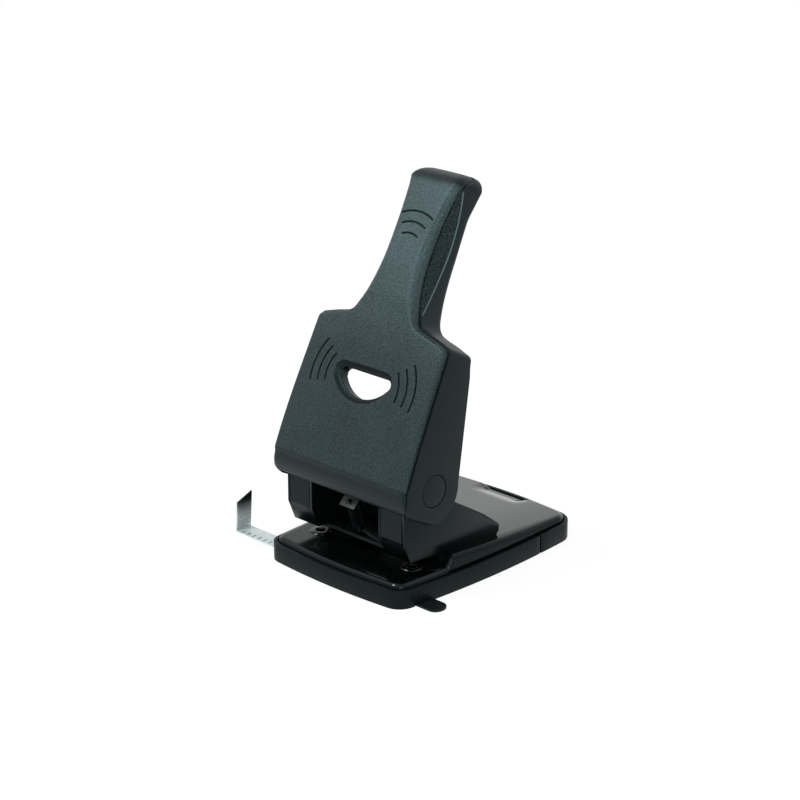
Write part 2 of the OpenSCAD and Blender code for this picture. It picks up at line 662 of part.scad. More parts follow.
// Pressed frame across the two cams
yoke_t = 2;
yoke_rivet_t = [27, 50];
cover_screw_places = [[20, 25], [20, 73]];
module lever_yoke() {
    color("#a3a7a9") as_face() translate([0, 0, arm_front_n + seat]) difference() {
        linear_extrude(yoke_t) difference() {
            polygon(concat([[-46, 18], [46, 18], [46, 68]], arc(36, 68, 10, 0, 90, 6),
                arc(-36, 68, 10, 90, 180, 6)));
            translate([-31, 32]) square([62, 34]);
        }
        for (x = [-1, 1]) {
            for (t = yoke_rivet_t) translate([x * pin_x, t, -1]) cylinder(h = 4, r = 1.85);
            for (p = cover_screw_places) translate([x * p.x, p.y, -1]) cylinder(h = 4, r = 1.7);
        }
        for (t = hook_rivet_t) translate([0, t, -1])
            cylinder(h = 4, r = side_rivet_r + run_fit);
    }
}
module yoke_rivets() {
    color("#8b8e90") as_face() {
        both() for (t = yoke_rivet_t) translate([pin_x, t, arm_front_n]) {
            translate([0, 0, -6]) cylinder(h = 6 + yoke_t + 1, r = 1.8);
            translate([0, 0, seat + yoke_t + 0.05]) cylinder(h = 1.4, r1 = 3.3, r2 = 2.3);
        }
        for (t = hook_rivet_t) translate([0, t, arm_front_n]) {
            translate([0, 0, -hook_t - 1.3]) cylinder(h = 1.2, r1 = 2, r2 = 2.8);
            translate([0, 0, -hook_t - 0.6]) cylinder(h = hook_t + yoke_t + 1.2, r = side_rivet_r);
            translate([0, 0, seat + yoke_t + 0.05]) cylinder(h = 1.2, r1 = 2.8, r2 = 2);
        }
    }
}

// Front view of the lever: right half, from the middle of its foot to the top of the handle
function neck(t) = neck_half + (t < neck_t ? 0.00498 : 0.00213) * pow(t - neck_t, 2);
fillet_t = 98;
foot_bow = 0.0002;
function lever_plan(d) =
    let (s = shoulder_half - d, b = lever_half + 0.4 - d, z = -foot_r + d, top = lever_len - d,
        w = neck(lever_len - 8) - d, q = shoulder_t - d)
    concat([for (x = [4, 20, 38]) [x, z + foot_bow * x * x]],
        arc(b - 4, z + 4.4, 4, -84, 0, 3),
        [for (t = [-14.6, -12, -9.6, -7.6, foot_turn, -1, 12, 24, 36, 48, 60, 72])
            [lerp(b, s, (t - z) / (q - z)), t]],
        arc(s - 4, q - 4, 4, 0, 76, 4),
        [[43 - d * 0.2, q + 2.6], [34 - d * 0.3, q + 4.8]],
        [[29 - d * 0.6, q + 6.6], [26 - d * 0.8, q + 9.4]],
        [for (t = [fillet_t:7:lever_len - 12]) [neck(t) - d, t]],
        arc(w - 7.6, top - 8.4, 8, 5, 80, 5), [[9, top - 0.2], [3, top]]);

// Heights of the front face, of the seam behind the cover and of the rear edge
face_top_t = 98;
foot_turn = -5.7;
foot_round = 17;
crease = 1.3;
function face(t) = face_n - pow(t - face_top_t, 2) / (2 * (t < face_top_t ? face_bow : handle_bow))
    - (t < foot_turn ? crease * smooth((foot_turn - t) / 4)
        + foot_round - sqrt(pow(foot_round, 2) - pow(t - foot_turn, 2)) : 0)
    - (t > lever_len - 10 ? 0.08 * pow(t - lever_len + 10, 2) : 0);
function crown(x, t) =
    lerp(0.2, 1, smooth(t / shoulder_t)) * face_crown * pow(x / shoulder_half, 2);
function seam(t) = t < foot_turn ? face(t) - lerp(3.1, 1.4, smooth((foot_turn - t) / 15))
    : seam_n - 1.1 * smooth((20 - t) / 26) - 0.025 * max(0, t - 108);
function rear(t) =
    t < 12 ? -sqrt(pow(foot_r + 0.6, 2) - pow(t, 2))
    : t < 86 ? lerp(-19.2, 1, (t - 12) / 67) - 2 * pow(max(0, t - 72) / 14, 2)
    : 0.6 + 2.6 * (t - 86) / (lever_len - 86)
        - palm_swell * pow(max(0, 1 - pow((t - neck_t) / palm_reach, 2)), 2);
cover_round = 2.2;
palm_swell = 3.8;
palm_reach = 46;
module lever_cover() {
    color("#2c3032") difference() {
        union() {
            as_face() moulded(lever_plan(cover_step), function(x, t) face(t) - crown(x, t),
                function(x, t) seam(t) + seat,
                function(t) lerp(0.7, cover_round, smooth((t + foot_r) / 16)), function(t) 0);
            // Collar behind the window
            as_face() translate([0, 0, window_n - 9.7]) linear_extrude(5) polygon(window(2));
            // Bosses that take the screws
            as_face() both() for (p = cover_screw_places)
                translate([p.x, p.y, arm_front_n + yoke_t + 2 * seat])
                    cylinder(h = seam_n - arm_front_n - yoke_t + 1, r = 3.2);
        }
        as_face() {
            linear_extrude(40) polygon(window(0));
            window_recess();
            both() ripples(ripple_side);
            ripples(ripple_top);
        }
        as_face() both() for (p = cover_screw_places) translate([p.x, p.y, 10])
            cylinder(h = 13.5, r = 1.5);
    }
}
window_corner = 3.6;
// D-shaped outline, grown by d: a long arc below, a straight edge above and round corners.
// The arc's radius follows from the width and height at the corners' centres.
function window(d) =
    let (c = [window_w / 2 - window_corner, window_t - window_corner],
        r = (pow(c.x, 2) + pow(window_h - window_corner, 2) - pow(window_corner, 2))
            / (2 * (window_h - 2 * window_corner)),
        a = asin(c.x / (r - window_corner)))
    concat(arc(c.x, c.y, window_corner + d, a - 90, 90, 6),
        arc(-c.x, c.y, window_corner + d, 90, 270 - a, 6),
        arc(0, window_t - window_h + r, r + d, 270 - a + 4, 270 + a - 4, 12));

// Hollow bevel that leads into the window, as pairs of growth and height. It starts clear of
// the face, so that the edge follows the face's crown.
recess_w = 3.8;
recess_n = [[2 * recess_w, 3.7], [recess_w, 0], [recess_w / 2, -2.1], [0.35, -3.1], [0, -3.6]];
window_n = face(window_t - window_h / 2);
module window_recess() {
    n = len(window(0));
    levels = len(recess_n);
    polyhedron(points = [for (k = recess_n) each [for (p = window(k[0])) [p.x, p.y, window_n + k[1]]]],
        faces = concat([[for (i = [n - 1:-1:0]) i], [for (i = [0:n - 1]) (levels - 1) * n + i]],
            [for (k = [0:levels - 2], i = [0:n - 1]) each let (a = k * n + i,
                b = k * n + (i + 1) % n) [[a, b + n, a + n], [a, b, b + n]]]));
}

// Engraved arcs about one centre. Their plane touches the face at the middle of the group.
groove_r = 0.6;
groove_lift = 0.1;
ripple_side = [[9, 48], [21.3, 27.6, 34], [-14, 36]];
ripple_top = [[0, 129], [14.4, 21.6, 28.6], [63, 117]];
module ripples(group) {
    c = group[0];
    m = c + group[1][1] * turn([1, 0], (group[2][0] + group[2][1]) / 2);
    n = face(m.y) - crown(m.x, m.y);
    rise_t = face(m.y + 1) - crown(m.x, m.y + 1) - n;
    rise_x = face(m.y) - crown(m.x + 1, m.y) - n;
    translate([m.x, m.y, n + groove_lift]) rotate([atan(rise_t), -atan(rise_x), 0])
        translate([c.x - m.x, c.y - m.y, 0]) for (r = group[1]) rotate([0, 0, group[2][0]])
            rotate_extrude(angle = group[2][1] - group[2][0]) translate([r, 0]) circle(r = groove_r);
}
module lever_housing() {
    wall = housing_wall;
    s = lever_plan(0);
    in = lever_plan(wall);
    cavity = concat([for (p = in) if (p.y < fillet_t - 3) p], [[14, 92], [-14, 92]],
        [for (p = flipped(in)) if (p.y < fillet_t - 3) [-p.x, p.y]]);
    color("#202324") difference() {
        as_face() moulded(s, function(x, t) seam(t), function(x, t) rear(t),
            function(t) 0.6, function(t) t > 92 ? 5.5 : t > 78 ? 3.2 : 1.2);
        as_face() translate([0, 0, -60]) linear_extrude(120) polygon([for (p = cavity)
            [p.x, p.y < -foot_r + wall + 1 ? -40 : p.y]]);
        both() cap_place() {
            cylinder(h = 4, r = cap_d / 2 + 0.15);
            translate([0, 0, -20]) cylinder(h = 30, r = shaft_r + 0.4);
        }
        both() grip_cut(gap);
    }
}

// Place of a pivot cap, square to the tapered side of the lever
side_slope = atan((lever_half - shoulder_half) / shoulder_t);
cap_in = 1.5;
module cap_place() {
    on_lever() translate([lever_half - 0.35, 0, 0]) rotate([0, 90 - side_slope, 0])
        translate([0, 0, -cap_in]) children();
}
module cap() {
    color("#26292b") cap_place() translate([0, 0, seat]) rotate_extrude()
        polygon([[0, 0], [cap_d / 2, 0], [cap_d / 2, cap_in - 0.3], [cap_d / 2 - 0.4, cap_in],
            [0, cap_in]]);
}
module cap_right() { cap(); }
module cap_left() { mirror([1, 0, 0]) cap(); }
module cover_screws() {
    color("#8b8e90") as_face() both() for (p = cover_screw_places)
        translate([p.x, p.y, arm_front_n]) {
            translate([0, 0, -1.9]) cylinder(h = 1.9, r = 2.8);
            translate([0, 0, -0.5]) cylinder(h = 9, r = 1.4);
        }
}

// Lens-shaped inlays, let into the handle's sides
grip_t0 = 97.5;
grip_t1 = 177.5;
grip_mid = 139;
grip_half = 42;
grip_back_n = 10.2;
grip_depth = 13;
function lens_back(t) = grip_back_n + grip_depth * pow((t - grip_mid) / grip_half, 2);
function lens(d, front) =
    let (ts = [for (u = [0:0.1:1]) lerp(grip_t0 - d, grip_t1 + d, u)])
    concat([for (t = ts) [d - lens_back(t), t]],
        [for (i = [len(ts) - 1:-1:0]) [-(seam(ts[i]) + front), ts[i]]]);
module grip_cut(d) {
    intersection() {
        as_face() linear_extrude(60) polygon(concat(
            [for (t = [90:4:190]) [neck(t) - grip_t - d, t]], [[60, 190], [60, 90]]));
        on_lever() slab(5, 60) polygon(lens(d, 1));
    }
}
module grip() {
    color("#151617") intersection() {
        as_face() linear_extrude(60) polygon(concat(
            [for (t = [90:4:190]) [neck(t) - grip_t, t]],
            [for (t = [190:-4:90]) [neck(t) - 0.1, t]]));
        on_lever() slab(5, 60) polygon(lens(0, -seat));
    }
}
module grip_right() { grip(); }
module grip_left() { mirror([1, 0, 0]) grip(); }

base_tray();
tray_pads();
tray_screws();
base_plate();
dies();
tower_left();
tower_right();
cross_plate();
tower_rivets();
guide_left();
guide_right();
guide_channel();
pivot_shaft();
shaft_clips();
chip_drawer();
paper_guide();
guide_lock();
pin_left();
pin_right();
spring_left();
spring_right();
return_spring();
spring_hook();
cam_left();
cam_right();
lever_yoke();
yoke_rivets();
lever_housing();
lever_cover();
cover_screws();
grip_left();
grip_right();
cap_left();
cap_right();
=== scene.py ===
import json
import math

import bmesh
import bpy
import numpy as np
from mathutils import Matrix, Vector


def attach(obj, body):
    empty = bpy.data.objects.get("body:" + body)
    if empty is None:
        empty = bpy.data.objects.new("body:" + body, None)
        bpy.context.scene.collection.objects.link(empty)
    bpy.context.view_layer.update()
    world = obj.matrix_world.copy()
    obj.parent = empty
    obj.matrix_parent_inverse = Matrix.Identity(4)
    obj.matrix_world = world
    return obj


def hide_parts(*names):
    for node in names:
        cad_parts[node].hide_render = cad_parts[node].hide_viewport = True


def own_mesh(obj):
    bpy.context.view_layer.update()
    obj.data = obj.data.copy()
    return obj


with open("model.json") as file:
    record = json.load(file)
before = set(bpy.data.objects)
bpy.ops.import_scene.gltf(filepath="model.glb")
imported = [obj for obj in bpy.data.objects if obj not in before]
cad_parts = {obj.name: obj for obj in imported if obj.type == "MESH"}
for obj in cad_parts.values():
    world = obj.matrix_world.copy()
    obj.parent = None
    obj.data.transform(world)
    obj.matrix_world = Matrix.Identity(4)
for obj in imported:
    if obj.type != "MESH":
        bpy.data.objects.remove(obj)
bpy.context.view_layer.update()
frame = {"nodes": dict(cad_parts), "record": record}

# Sizes of the punch in millimetres, as in the part's source. On the lever x runs across, t along it and
# n square to its face, all from the pivot.
PIN_X, DECK_Z, RIDGE_Z, DECK_FALL, STOP_DEPTH, STOP_RUN = 40, 15, 22.6, 0.066, 12, 7
BASE_W, BASE_FRONT, BASE_REAR = 118, 29.7, 134.9
BOW_END, BOW_SIDE, FRONT_CORNER, REAR_CORNER = 2.4, 3.4, 11.5, 16
DECK_INSET, DECK_T, DECK_EDGE, SKIRT_Z, DIP_W = 3.0, 1.5, 3.6, 9, 44
PIVOT_Y, PIVOT_Z, LEAN = 1, 69.5, math.radians(27)
LEVER_LEN, LEVER_HALF, SHOULDER_HALF, SHOULDER_T = 188, 58.2, 55.4, 84
NECK_HALF, NECK_T, FILLET_T = 17.5, 133, 98
SHOULDER_BEND = ((43, 2.6, 0.2), (34, 4.8, 0.3), (29, 6.6, 0.6), (26, 9.4, 0.8))
FOOT_R, FOOT_BOW, FOOT_TURN, FOOT_ROUND, CREASE, CORNER_R = 21.5, 0.0002, -5.7, 17, 1.3, 4
FACE_N, FACE_CROWN, FACE_BOW, HANDLE_BOW, FACE_TOP_T = 30.5, 3.2, 1100, 590, 98
REAR_STEP, REAR_N, REAR_RISE, REAR_RISE_RUN, REAR_FLARE = 0.6, -19.2, 20.2, 67, 2.6
REAR_LOW_T, REAR_BEND_T, REAR_HIGH_T = 12, 72, 86
PALM_SWELL, PALM_REACH = 3.8, 46
SEAM_N, COVER_STEP, COVER_ROUND, HOUSING_WALL = 23.3, 1.5, 2.2, 2.6
SEAM_SINK, SEAM_SINK_T, SEAM_SINK_RUN, SEAM_FALL, SEAM_FALL_T = 1.1, 20, 26, 0.025, 108
SEAM_FOOT, SEAM_FOOT_RISE, SEAM_FOOT_RUN = 3.1, 1.7, 15
WINDOW_W, WINDOW_H, WINDOW_T, WINDOW_CORNER = 42, 16, 54.5, 3.6
COLLAR_T, COLLAR_LOW, COLLAR_HIGH = 2.0, 19.6, 23.7
BOSS_X, BOSS_LOW_T, BOSS_HIGH_T, BOSS_R, BOSS_N = 20, 25, 73, 3.2, 16.1
CAP_D, CAP_IN, CAP_SEAT_R, CAP_SINK = 20, 1.5, 4.4, 0.35
GRIP_T, GRIP_LOW, GRIP_HIGH = 1.2, 97.5, 177.5
GRIP_BACK_N, GRIP_DEPTH, GRIP_MID, GRIP_HALF = 10.2, 13, 139, 42

# Small forms of the finished pieces that the source lacks or has otherwise
DIP_DEPTH, DIP_SHOULDER, DIP_START, DIP_RUN = 2.8, 9, 20, 18
RISE, RISE_T, RISE_RUN = 0.7, 92, 14
TIP_DROP, TIP_DROP_RUN, TIP_WRAP, TIP_WRAP_RUN = 11.4, 11, 1.3, 8
FOOT_EDGE, FOOT_EDGE_RUN, HANDLE_EDGE, CAP_GAP = 0.7, 16, 2.6, 0.4
REAR_EDGE, REAR_EDGE_STEPS = 1.2, ((2.0, 70, 10), (2.6, 86, 10), (-3.2, 160, 15))
GROOVE_R, GROOVE_SINK = 0.78, 0.35

# Window's opening through the cover by growth and height, and engraved arcs by centre, radii and angles
WINDOW_LEVELS = ((7.6, 33.0), (3.8, 29.3), (2.8, 28.1), (1.9, 27.2), (1.0, 26.55), (0.35, 26.2),
                 (0.0, 25.7), (0.0, 12.0))
SIDE_ARCS, HANDLE_ARCS = (21.3, 27.6, 34), (14.4, 21.6, 28.6)
ENGRAVED = (((9, 48), SIDE_ARCS, -14, 36), ((-9, 48), SIDE_ARCS, 144, 194),
            ((0, 129), HANDLE_ARCS, 63, 117))

# Holes at each side of the deck, by place in y and radius: one under the pin and two for rivets
DECK_HOLES = ((0, 5.05), (31, 2.05), (41, 2.05))

# Joint lines between a tower's front flap and its side plates: places in x, and the flap's path in y and z
TOWER_FRONT, CHAMFER_Z = 17.7, 38.2
FLAP_PATH = ((-TOWER_FRONT, 61), (-TOWER_FRONT, CHAMFER_Z), (-12.0, 14.3))
FLAP_JOINTS, JOINT_HALF, JOINT_OUT, JOINT_IN = (31.25, 48.75), 0.22, 0.6, 0.5

# Radius that rounds the edges of each piece that is otherwise a copy of its CAD node
EDGE_ROUNDS = {
    "base_tray": 0.5, "chip_drawer": 0.5, "tray_pads": 0.2, "tray_screws": 0.15, "guide_left": 0.15,
    "guide_right": 0.15, "pivot_shaft": 0.2, "shaft_clips": 0.1, "cross_plate": 0.3, "dies": 0.15,
    "tower_rivets": 0.3, "guide_channel": 0.15, "paper_guide": 0.2, "guide_lock": 0.3, "pin_left": 0.25,
    "pin_right": 0.25, "spring_hook": 0.25, "cam_left": 0.4, "cam_right": 0.4, "lever_yoke": 0.3,
    "yoke_rivets": 0.25, "cover_screws": 0.2, "cap_left": 0.25, "cap_right": 0.25,
}

# Tint of the photograph's greys, light of the room, and the floor's own glow
TINT, STEEL_TINT = (0.66, 1.0, 1.06), (0.87, 1.0, 1.0)
ROOM_LIGHT, FLOOR_GLOW, FLOOR_SHARE = 0.55, 1.07, 0.86


# Camera of the photograph
camera_data = bpy.data.cameras.new("photo_camera")
camera_data.lens, camera_data.sensor_width = 105.75, 36
camera_data.clip_start, camera_data.clip_end = 0.05, 30
camera = bpy.data.objects.new("photo_camera", camera_data)
bpy.context.scene.collection.objects.link(camera)
camera.location = (0.95415, -0.94571, 0.60367)
camera.rotation_mode = "QUATERNION"
camera.rotation_quaternion = (-Vector((0.6565, -0.6719, 0.3429))).to_track_quat("-Z", "Y")
bpy.context.scene.camera = camera
bpy.context.scene.view_settings.view_transform = "Standard"


# Finishes
class Number:
    """A socket that takes part in sums, so that a finish can be written as a formula."""

    def __init__(self, tree, socket):
        self.tree, self.socket = tree, socket

    def work(self, operation, *others):
        """Result of a Math node on this number and others."""
        node = self.tree.nodes.new("ShaderNodeMath")
        node.operation = operation
        for place, value in enumerate((self, *others)):
            if isinstance(value, Number):
                self.tree.links.new(value.socket, node.inputs[place])
            else:
                node.inputs[place].default_value = value
        return Number(self.tree, node.outputs[0])

    def __add__(self, other):
        return self.work("ADD", other)

    __radd__ = __add__

    def __mul__(self, other):
        return self.work("MULTIPLY", other)

    __rmul__ = __mul__

    def __sub__(self, other):
        return self.work("SUBTRACT", other)

    def __rsub__(self, other):
        return (self * -1.0) + other

    def __truediv__(self, other):
        return self.work("DIVIDE", other)

    def band(self, low, high):
        """0 below low, 1 above high and a soft step between them."""
        node = self.tree.nodes.new("ShaderNodeMapRange")
        node.interpolation_type = "SMOOTHSTEP"
        self.tree.links.new(self.socket, node.inputs["Value"])
        node.inputs["From Min"].default_value = low
        node.inputs["From Max"].default_value = high
        return Number(self.tree, node.outputs["Result"])


FINISHES = {}


class Finish:
    """One material with its Principled shader and the nodes that feed it, kept in FINISHES by its name."""

    def __init__(self, name, **constants):
        self.material = FINISHES[name] = bpy.data.materials.new(name)
        self.material.use_nodes = True
        self.tree = self.material.node_tree
        self.shader = self.tree.nodes["Principled BSDF"]
        for socket, value in constants.items():
            self.shader.inputs[socket.replace("_", " ")].default_value = value

    def node(self, kind, settings=None, output=0, **inputs):
        """Adds a node with its settings, then its inputs, and gives one of its outputs."""
        made = self.tree.nodes.new(kind)
        for key, value in (settings or {}).items():
            setattr(made, key, value)
        for name, value in inputs.items():
            socket = made.inputs[name.replace("_", " ")]
            if isinstance(value, Number):
                self.tree.links.new(value.socket, socket)
            else:
                socket.default_value = value
        return Number(self.tree, made.outputs[output])

    def places(self):
        """The place on the object, in metres, and its three numbers."""
        where = self.node("ShaderNodeTexCoord", output="Object")
        split = self.tree.nodes.new("ShaderNodeSeparateXYZ")
        self.tree.links.new(where.socket, split.inputs[0])
        return where, [Number(self.tree, s) for s in split.outputs]

    def noise(self, where, scale, detail=2.0, roughness=0.5):
        """Noise from 0 to 1, with about scale grains a metre."""
        return self.node("ShaderNodeTexNoise", Vector=where, Scale=scale, Detail=detail,
                         Roughness=roughness)

    def stretched(self, where, x, y, z):
        """The place with its three numbers scaled, which draws a pattern out along the smallest."""
        return self.node("ShaderNodeMapping", Vector=where, Scale=(x, y, z))

    def mixed(self, share, one, two):
        """A colour between two, by the share."""
        mix = self.tree.nodes.new("ShaderNodeMix")
        mix.data_type = "RGBA"
        self.tree.links.new(share.socket, mix.inputs["Factor"])
        for socket, colour in (("A", one), ("B", two)):
            place = [s for s in mix.inputs if s.name == socket and s.type == "RGBA"][0]
            if isinstance(colour, Number):
                self.tree.links.new(colour.socket, place)
            else:
                place.default_value = (*colour, 1)
        return Number(self.tree, [s for s in mix.outputs if s.type == "RGBA"][0])

    def feed(self, **values):
        """Links numbers and colours to the shader's inputs."""
        for socket, value in values.items():
            self.tree.links.new(value.socket, self.shader.inputs[socket.replace("_", " ")])

    def bump(self, height, strength, distance):
        """Relief of the surface, by a height from 0 to 1 over a distance in metres."""
        made = self.node("ShaderNodeBump", Strength=strength, Distance=distance, Height=height)
        self.feed(Normal=made)


def grey(value, tint=TINT):
    """Linear colour of an 8-bit grey with a tint."""
    level = value / 255
    linear = level / 12.92 if level <= 0.04045 else ((level + 0.055) / 1.055) ** 2.4
    return tuple(linear * part for part in tint)


def lever_places(y, z):
    """Places along the lever and square to its face, in millimetres."""
    y, z = y * 1000 - PIVOT_Y, z * 1000 - PIVOT_Z
    return y * math.sin(LEAN) + z * math.cos(LEAN), z * math.sin(LEAN) - y * math.cos(LEAN)


def lens_back(t):
    """Rear edge of the soft inlay in the handle's side, of numbers or of sockets."""
    share = (t - GRIP_MID) / GRIP_HALF
    return GRIP_BACK_N + GRIP_DEPTH * share * share


def under_the_face(x, t, n):
    """Depth under the cover's face, which has the form that face and crown give to the mesh."""
    run = t - FACE_TOP_T
    bow = (run.band(-0.5, 0.5) * (1 / HANDLE_BOW - 1 / FACE_BOW) + 1 / FACE_BOW) * 0.5
    side = x * (1000 / SHOULDER_HALF)
    fall = ((t / SHOULDER_T).band(0, 1) * 0.8 + 0.2) * side * side * -FACE_CROWN
    return fall + t.band(RISE_T, RISE_T + RISE_RUN) * RISE + FACE_N - run * run * bow - n


def cover_painted_light(f, colour, tone, x, t, n):
    """Painted sheen, paler towards the neck and handle, and painted shade, darker at the tip and in the
    carving.
    """
    # Painted sheen: paler from the body up to the neck and handle
    colour = f.mixed(t.band(52, 125), colour, f.mixed(tone, grey(42), grey(84)))
    # Painted shade over the wrap-over at the tip
    colour = f.mixed(t.band(GRIP_HIGH - 3, GRIP_HIGH + 4), colour, grey(4))
    across = (x * (1000 / SHOULDER_HALF)).work("ABSOLUTE")
    by_the_window = across.band(0.85, 0.8) * (1 - t.band(82, 88))
    on_the_handle = across.band(0.25, 0.22) * t.band(130, 138) * (1 - t.band(166, 170))
    # Painted shade in the window's recess and the engraved arcs
    painted_carving_shade = under_the_face(x, t, n).band(0.2, 0.45) * (by_the_window + on_the_handle)
    return f.mixed(painted_carving_shade, colour, grey(2))


def housing_painted_light(f, colour, t, n):
    """Painted shade in the joint under the cover, and a painted highlight on the rim behind the soft
    inlay.
    """
    sink = (SEAM_SINK_T - t).band(0, SEAM_SINK_RUN) * SEAM_SINK
    joint = n + sink + (t - SEAM_FALL_T).work("MAXIMUM", 0.0) * SEAM_FALL
    # Painted shade along the joint under the cover
    colour = f.mixed(joint.band(SEAM_N - 0.5, SEAM_N - 0.25), colour, grey(3))
    # Painted highlight on the rim behind the inlay
    rim = (n + 0.75 - lens_back(t)).work("ABSOLUTE").band(0.85, 0.5)
    rim = rim * t.band(GRIP_LOW - 1, GRIP_LOW + 2) * t.band(GRIP_HIGH, GRIP_HIGH - 2)
    return f.mixed(rim, colour, grey(110))


def grained_plastic(name, dark, light, scale, depth, rough, gloss=0.2, part=""):
    """Moulded plastic with a spark-eroded grain. The foot of the lever's cover is left smooth."""
    f = Finish(name, Specular_IOR_Level=gloss, Specular_Tint=(*TINT, 1))
    where, (x, y, z) = f.places()
    grain = f.noise(where, scale, 3.0, 0.6)
    speck = f.noise(where, scale * 2.3, 1.0)
    cloud = f.noise(where, 28.0, 2.0)
    tone = grain.band(0.38, 0.64) * 0.6 + speck.band(0.35, 0.65) * 0.25 + cloud.band(0.35, 0.65) * 0.15
    height = grain * 0.7 + speck * 0.3
    colour = f.mixed(tone, grey(dark), grey(light))
    t, n = lever_places(y, z) if part else (None, None)
    if part == "cover":
        above = t.band(FOOT_TURN - 1.2, FOOT_TURN + 0.6)
        # Painted sheen and painted shade over the cover above its foot
        colour = f.mixed(above, grey(8), cover_painted_light(f, colour, tone, x, t, n))
        height = height * (above * 0.85 + 0.15)
    if part == "housing":
        # Painted shade in the joint and a painted highlight on the rim behind the inlay
        colour = housing_painted_light(f, colour, t, n)
    f.feed(Base_Color=colour, Roughness=grain * 0.14 + (rough - 0.07))
    f.bump(height, 0.55, depth)


def deck_coat_painted_reflection(x, y, z):
    """Weight of the deck's coat, shaped to paint its reflections: none on the lower edge, none in the
    throat as painted shade, weak on the front and strong on the rear, weaker towards the right.
    """
    x, y, z = x * 1000, y * 1000, z * 1000
    rear = y.band(STOP_DEPTH, STOP_DEPTH + STOP_RUN)
    slope = (y - STOP_DEPTH - STOP_RUN) * -DECK_FALL + RIDGE_Z
    above = z - ((slope - DECK_Z) * rear + DECK_Z)
    # Painted shade: no coat in the throat between the towers
    throat = x.work("ABSOLUTE").band(31, 29) * y.band(7, 9) * y.band(40, 34)
    front = above.band(-0.35, -0.1) * -0.17 + 0.3
    # Painted reflection: the rear's coat weakens towards the right
    back = 0.75 - x.band(10, 50) * 0.25 - x.band(49, 55) * 0.42
    return above.band(-1.9, -1.2) * (front + rear * (back - front)) * (1 - throat)


def enamel(name, tone, rough, ripple, gloss, coated=False):
    """Sprayed enamel on steel, with a faint orange peel and rare dust. The deck has a coat on its top,
    whose weight paints reflections and shade.
    """
    f = Finish(name, Specular_IOR_Level=gloss, Specular_Tint=(*TINT, 1), Coat_Roughness=rough)
    where, (x, y, z) = f.places()
    if coated:
        f.feed(Coat_Weight=deck_coat_painted_reflection(x, y, z))
    peel = f.noise(where, 260.0, 1.0)
    dust = f.noise(where, 900.0, 0.0)
    wear = f.noise(where, 45.0, 3.0)
    f.feed(Base_Color=f.mixed(dust.band(0.72, 0.8), grey(tone), grey(tone + 10)),
           Roughness=wear.band(0.3, 0.75) * 0.05 + rough)
    f.bump(peel, ripple, 0.0003)


def steel(name, tone, rough, brush=(8.0, 900.0, 900.0), stain=0.12, shade=None):
    """Plated or ground steel with fine marks along one direction. Where a height band is given, the top is
    painted dark, a painted reflection of the black lever.
    """
    f = Finish(name, Metallic=0.45 if shade else 1.0)
    where, (_, _, z) = f.places()
    marks = f.noise(f.stretched(where, *brush), 1.0, 3.0, 0.6)
    spots = f.noise(where, 120.0, 3.0)
    stained, clean = grey(tone * (1 - stain), STEEL_TINT), grey(tone, STEEL_TINT)
    colour = f.mixed(spots.band(0.3, 0.75), stained, clean)
    if shade:
        # Painted reflection: darker above the band, the black lever mirrored in the steel
        colour = f.mixed(z.band(*shade), colour, grey(30, STEEL_TINT))
    f.feed(Base_Color=colour, Roughness=marks * 0.16 + (rough - 0.08))
    f.bump(marks, 0.12, 0.0002)


def soft_rubber(name, tone, scale, depth):
    """Soft moulding with a coarse leather-like texture."""
    f = Finish(name, Specular_IOR_Level=0.2, Specular_Tint=(*TINT, 1))
    where, _ = f.places()
    cells = f.node("ShaderNodeTexVoronoi", {"feature": "DISTANCE_TO_EDGE"}, Vector=where, Scale=scale)
    fine = f.noise(where, scale * 3, 2.0)
    speck = f.noise(where, scale * 1.2, 2.0, 0.7)
    f.feed(Base_Color=f.mixed(speck.band(0.4, 0.62), grey(tone * 0.2), grey(tone * 1.6)),
           Roughness=fine * 0.2 + 0.62)
    f.bump(cells.band(0.0, 0.3) + fine * 0.3, 0.8, depth)


grained_plastic("pan_plastic", 15, 22, 900.0, 0.0002, 0.42, 0.1)
grained_plastic("housing_plastic", 15, 27, 900.0, 0.0003, 0.44, 0.16, "housing")
grained_plastic("cover_plastic", 12, 52, 1000.0, 0.0006, 0.4, 0.26, "cover")
enamel("deck_enamel", 6, 0.12, 0.03, 0.12, coated=True)
enamel("tower_enamel", 7, 0.22, 0.05, 0.16)
steel("tool_steel", 168, 0.28)
steel("zinc_steel", 190, 0.3)
# Painted reflection of the black lever: darker from 14 mm up to 27 mm high
steel("bright_steel", 215, 0.26, (900.0, 14.0, 900.0), 0.06, (0.014, 0.027))
steel("spring_steel", 120, 0.32, (300.0, 300.0, 300.0))
steel("cam_steel", 150, 0.36, (900.0, 20.0, 900.0))
steel("fastener_steel", 190, 0.3, (300.0, 300.0, 300.0))
soft_rubber("pad_rubber", 40, 700.0, 0.0003)
soft_rubber("grip_rubber", 44, 900.0, 0.001)
steel("die_steel", 62, 0.24, (300.0, 300.0, 300.0))
# The pins are polished steel made darker: painted shade of the throat they stand in
steel("pin_steel", 120, 0.2, (900.0, 900.0, 14.0))
steel("tab_steel", 70, 0.45, (40.0, 900.0, 900.0))
enamel("black_wire", 3, 0.45, 0.05, 0.05)
enamel("printed_black", 12, 0.5, 0.02, 0.2)
grained_plastic("lock_plastic", 14, 20, 1100.0, 0.0001, 0.35, 0.15)

SLOT_OF = {row["node"]: row["material_slot"] for row in frame["record"]["subparts"]}
LOOK_OF = {**SLOT_OF, "dies": "die_steel", "pin_left": "pin_steel", "pin_right": "pin_steel",
           "spring_hook": "tab_steel", "return_spring": "black_wire"}
for node, part in frame["nodes"].items():
    part.data.materials.clear()
    part.data.materials.append(FINISHES[LOOK_OF[node]])


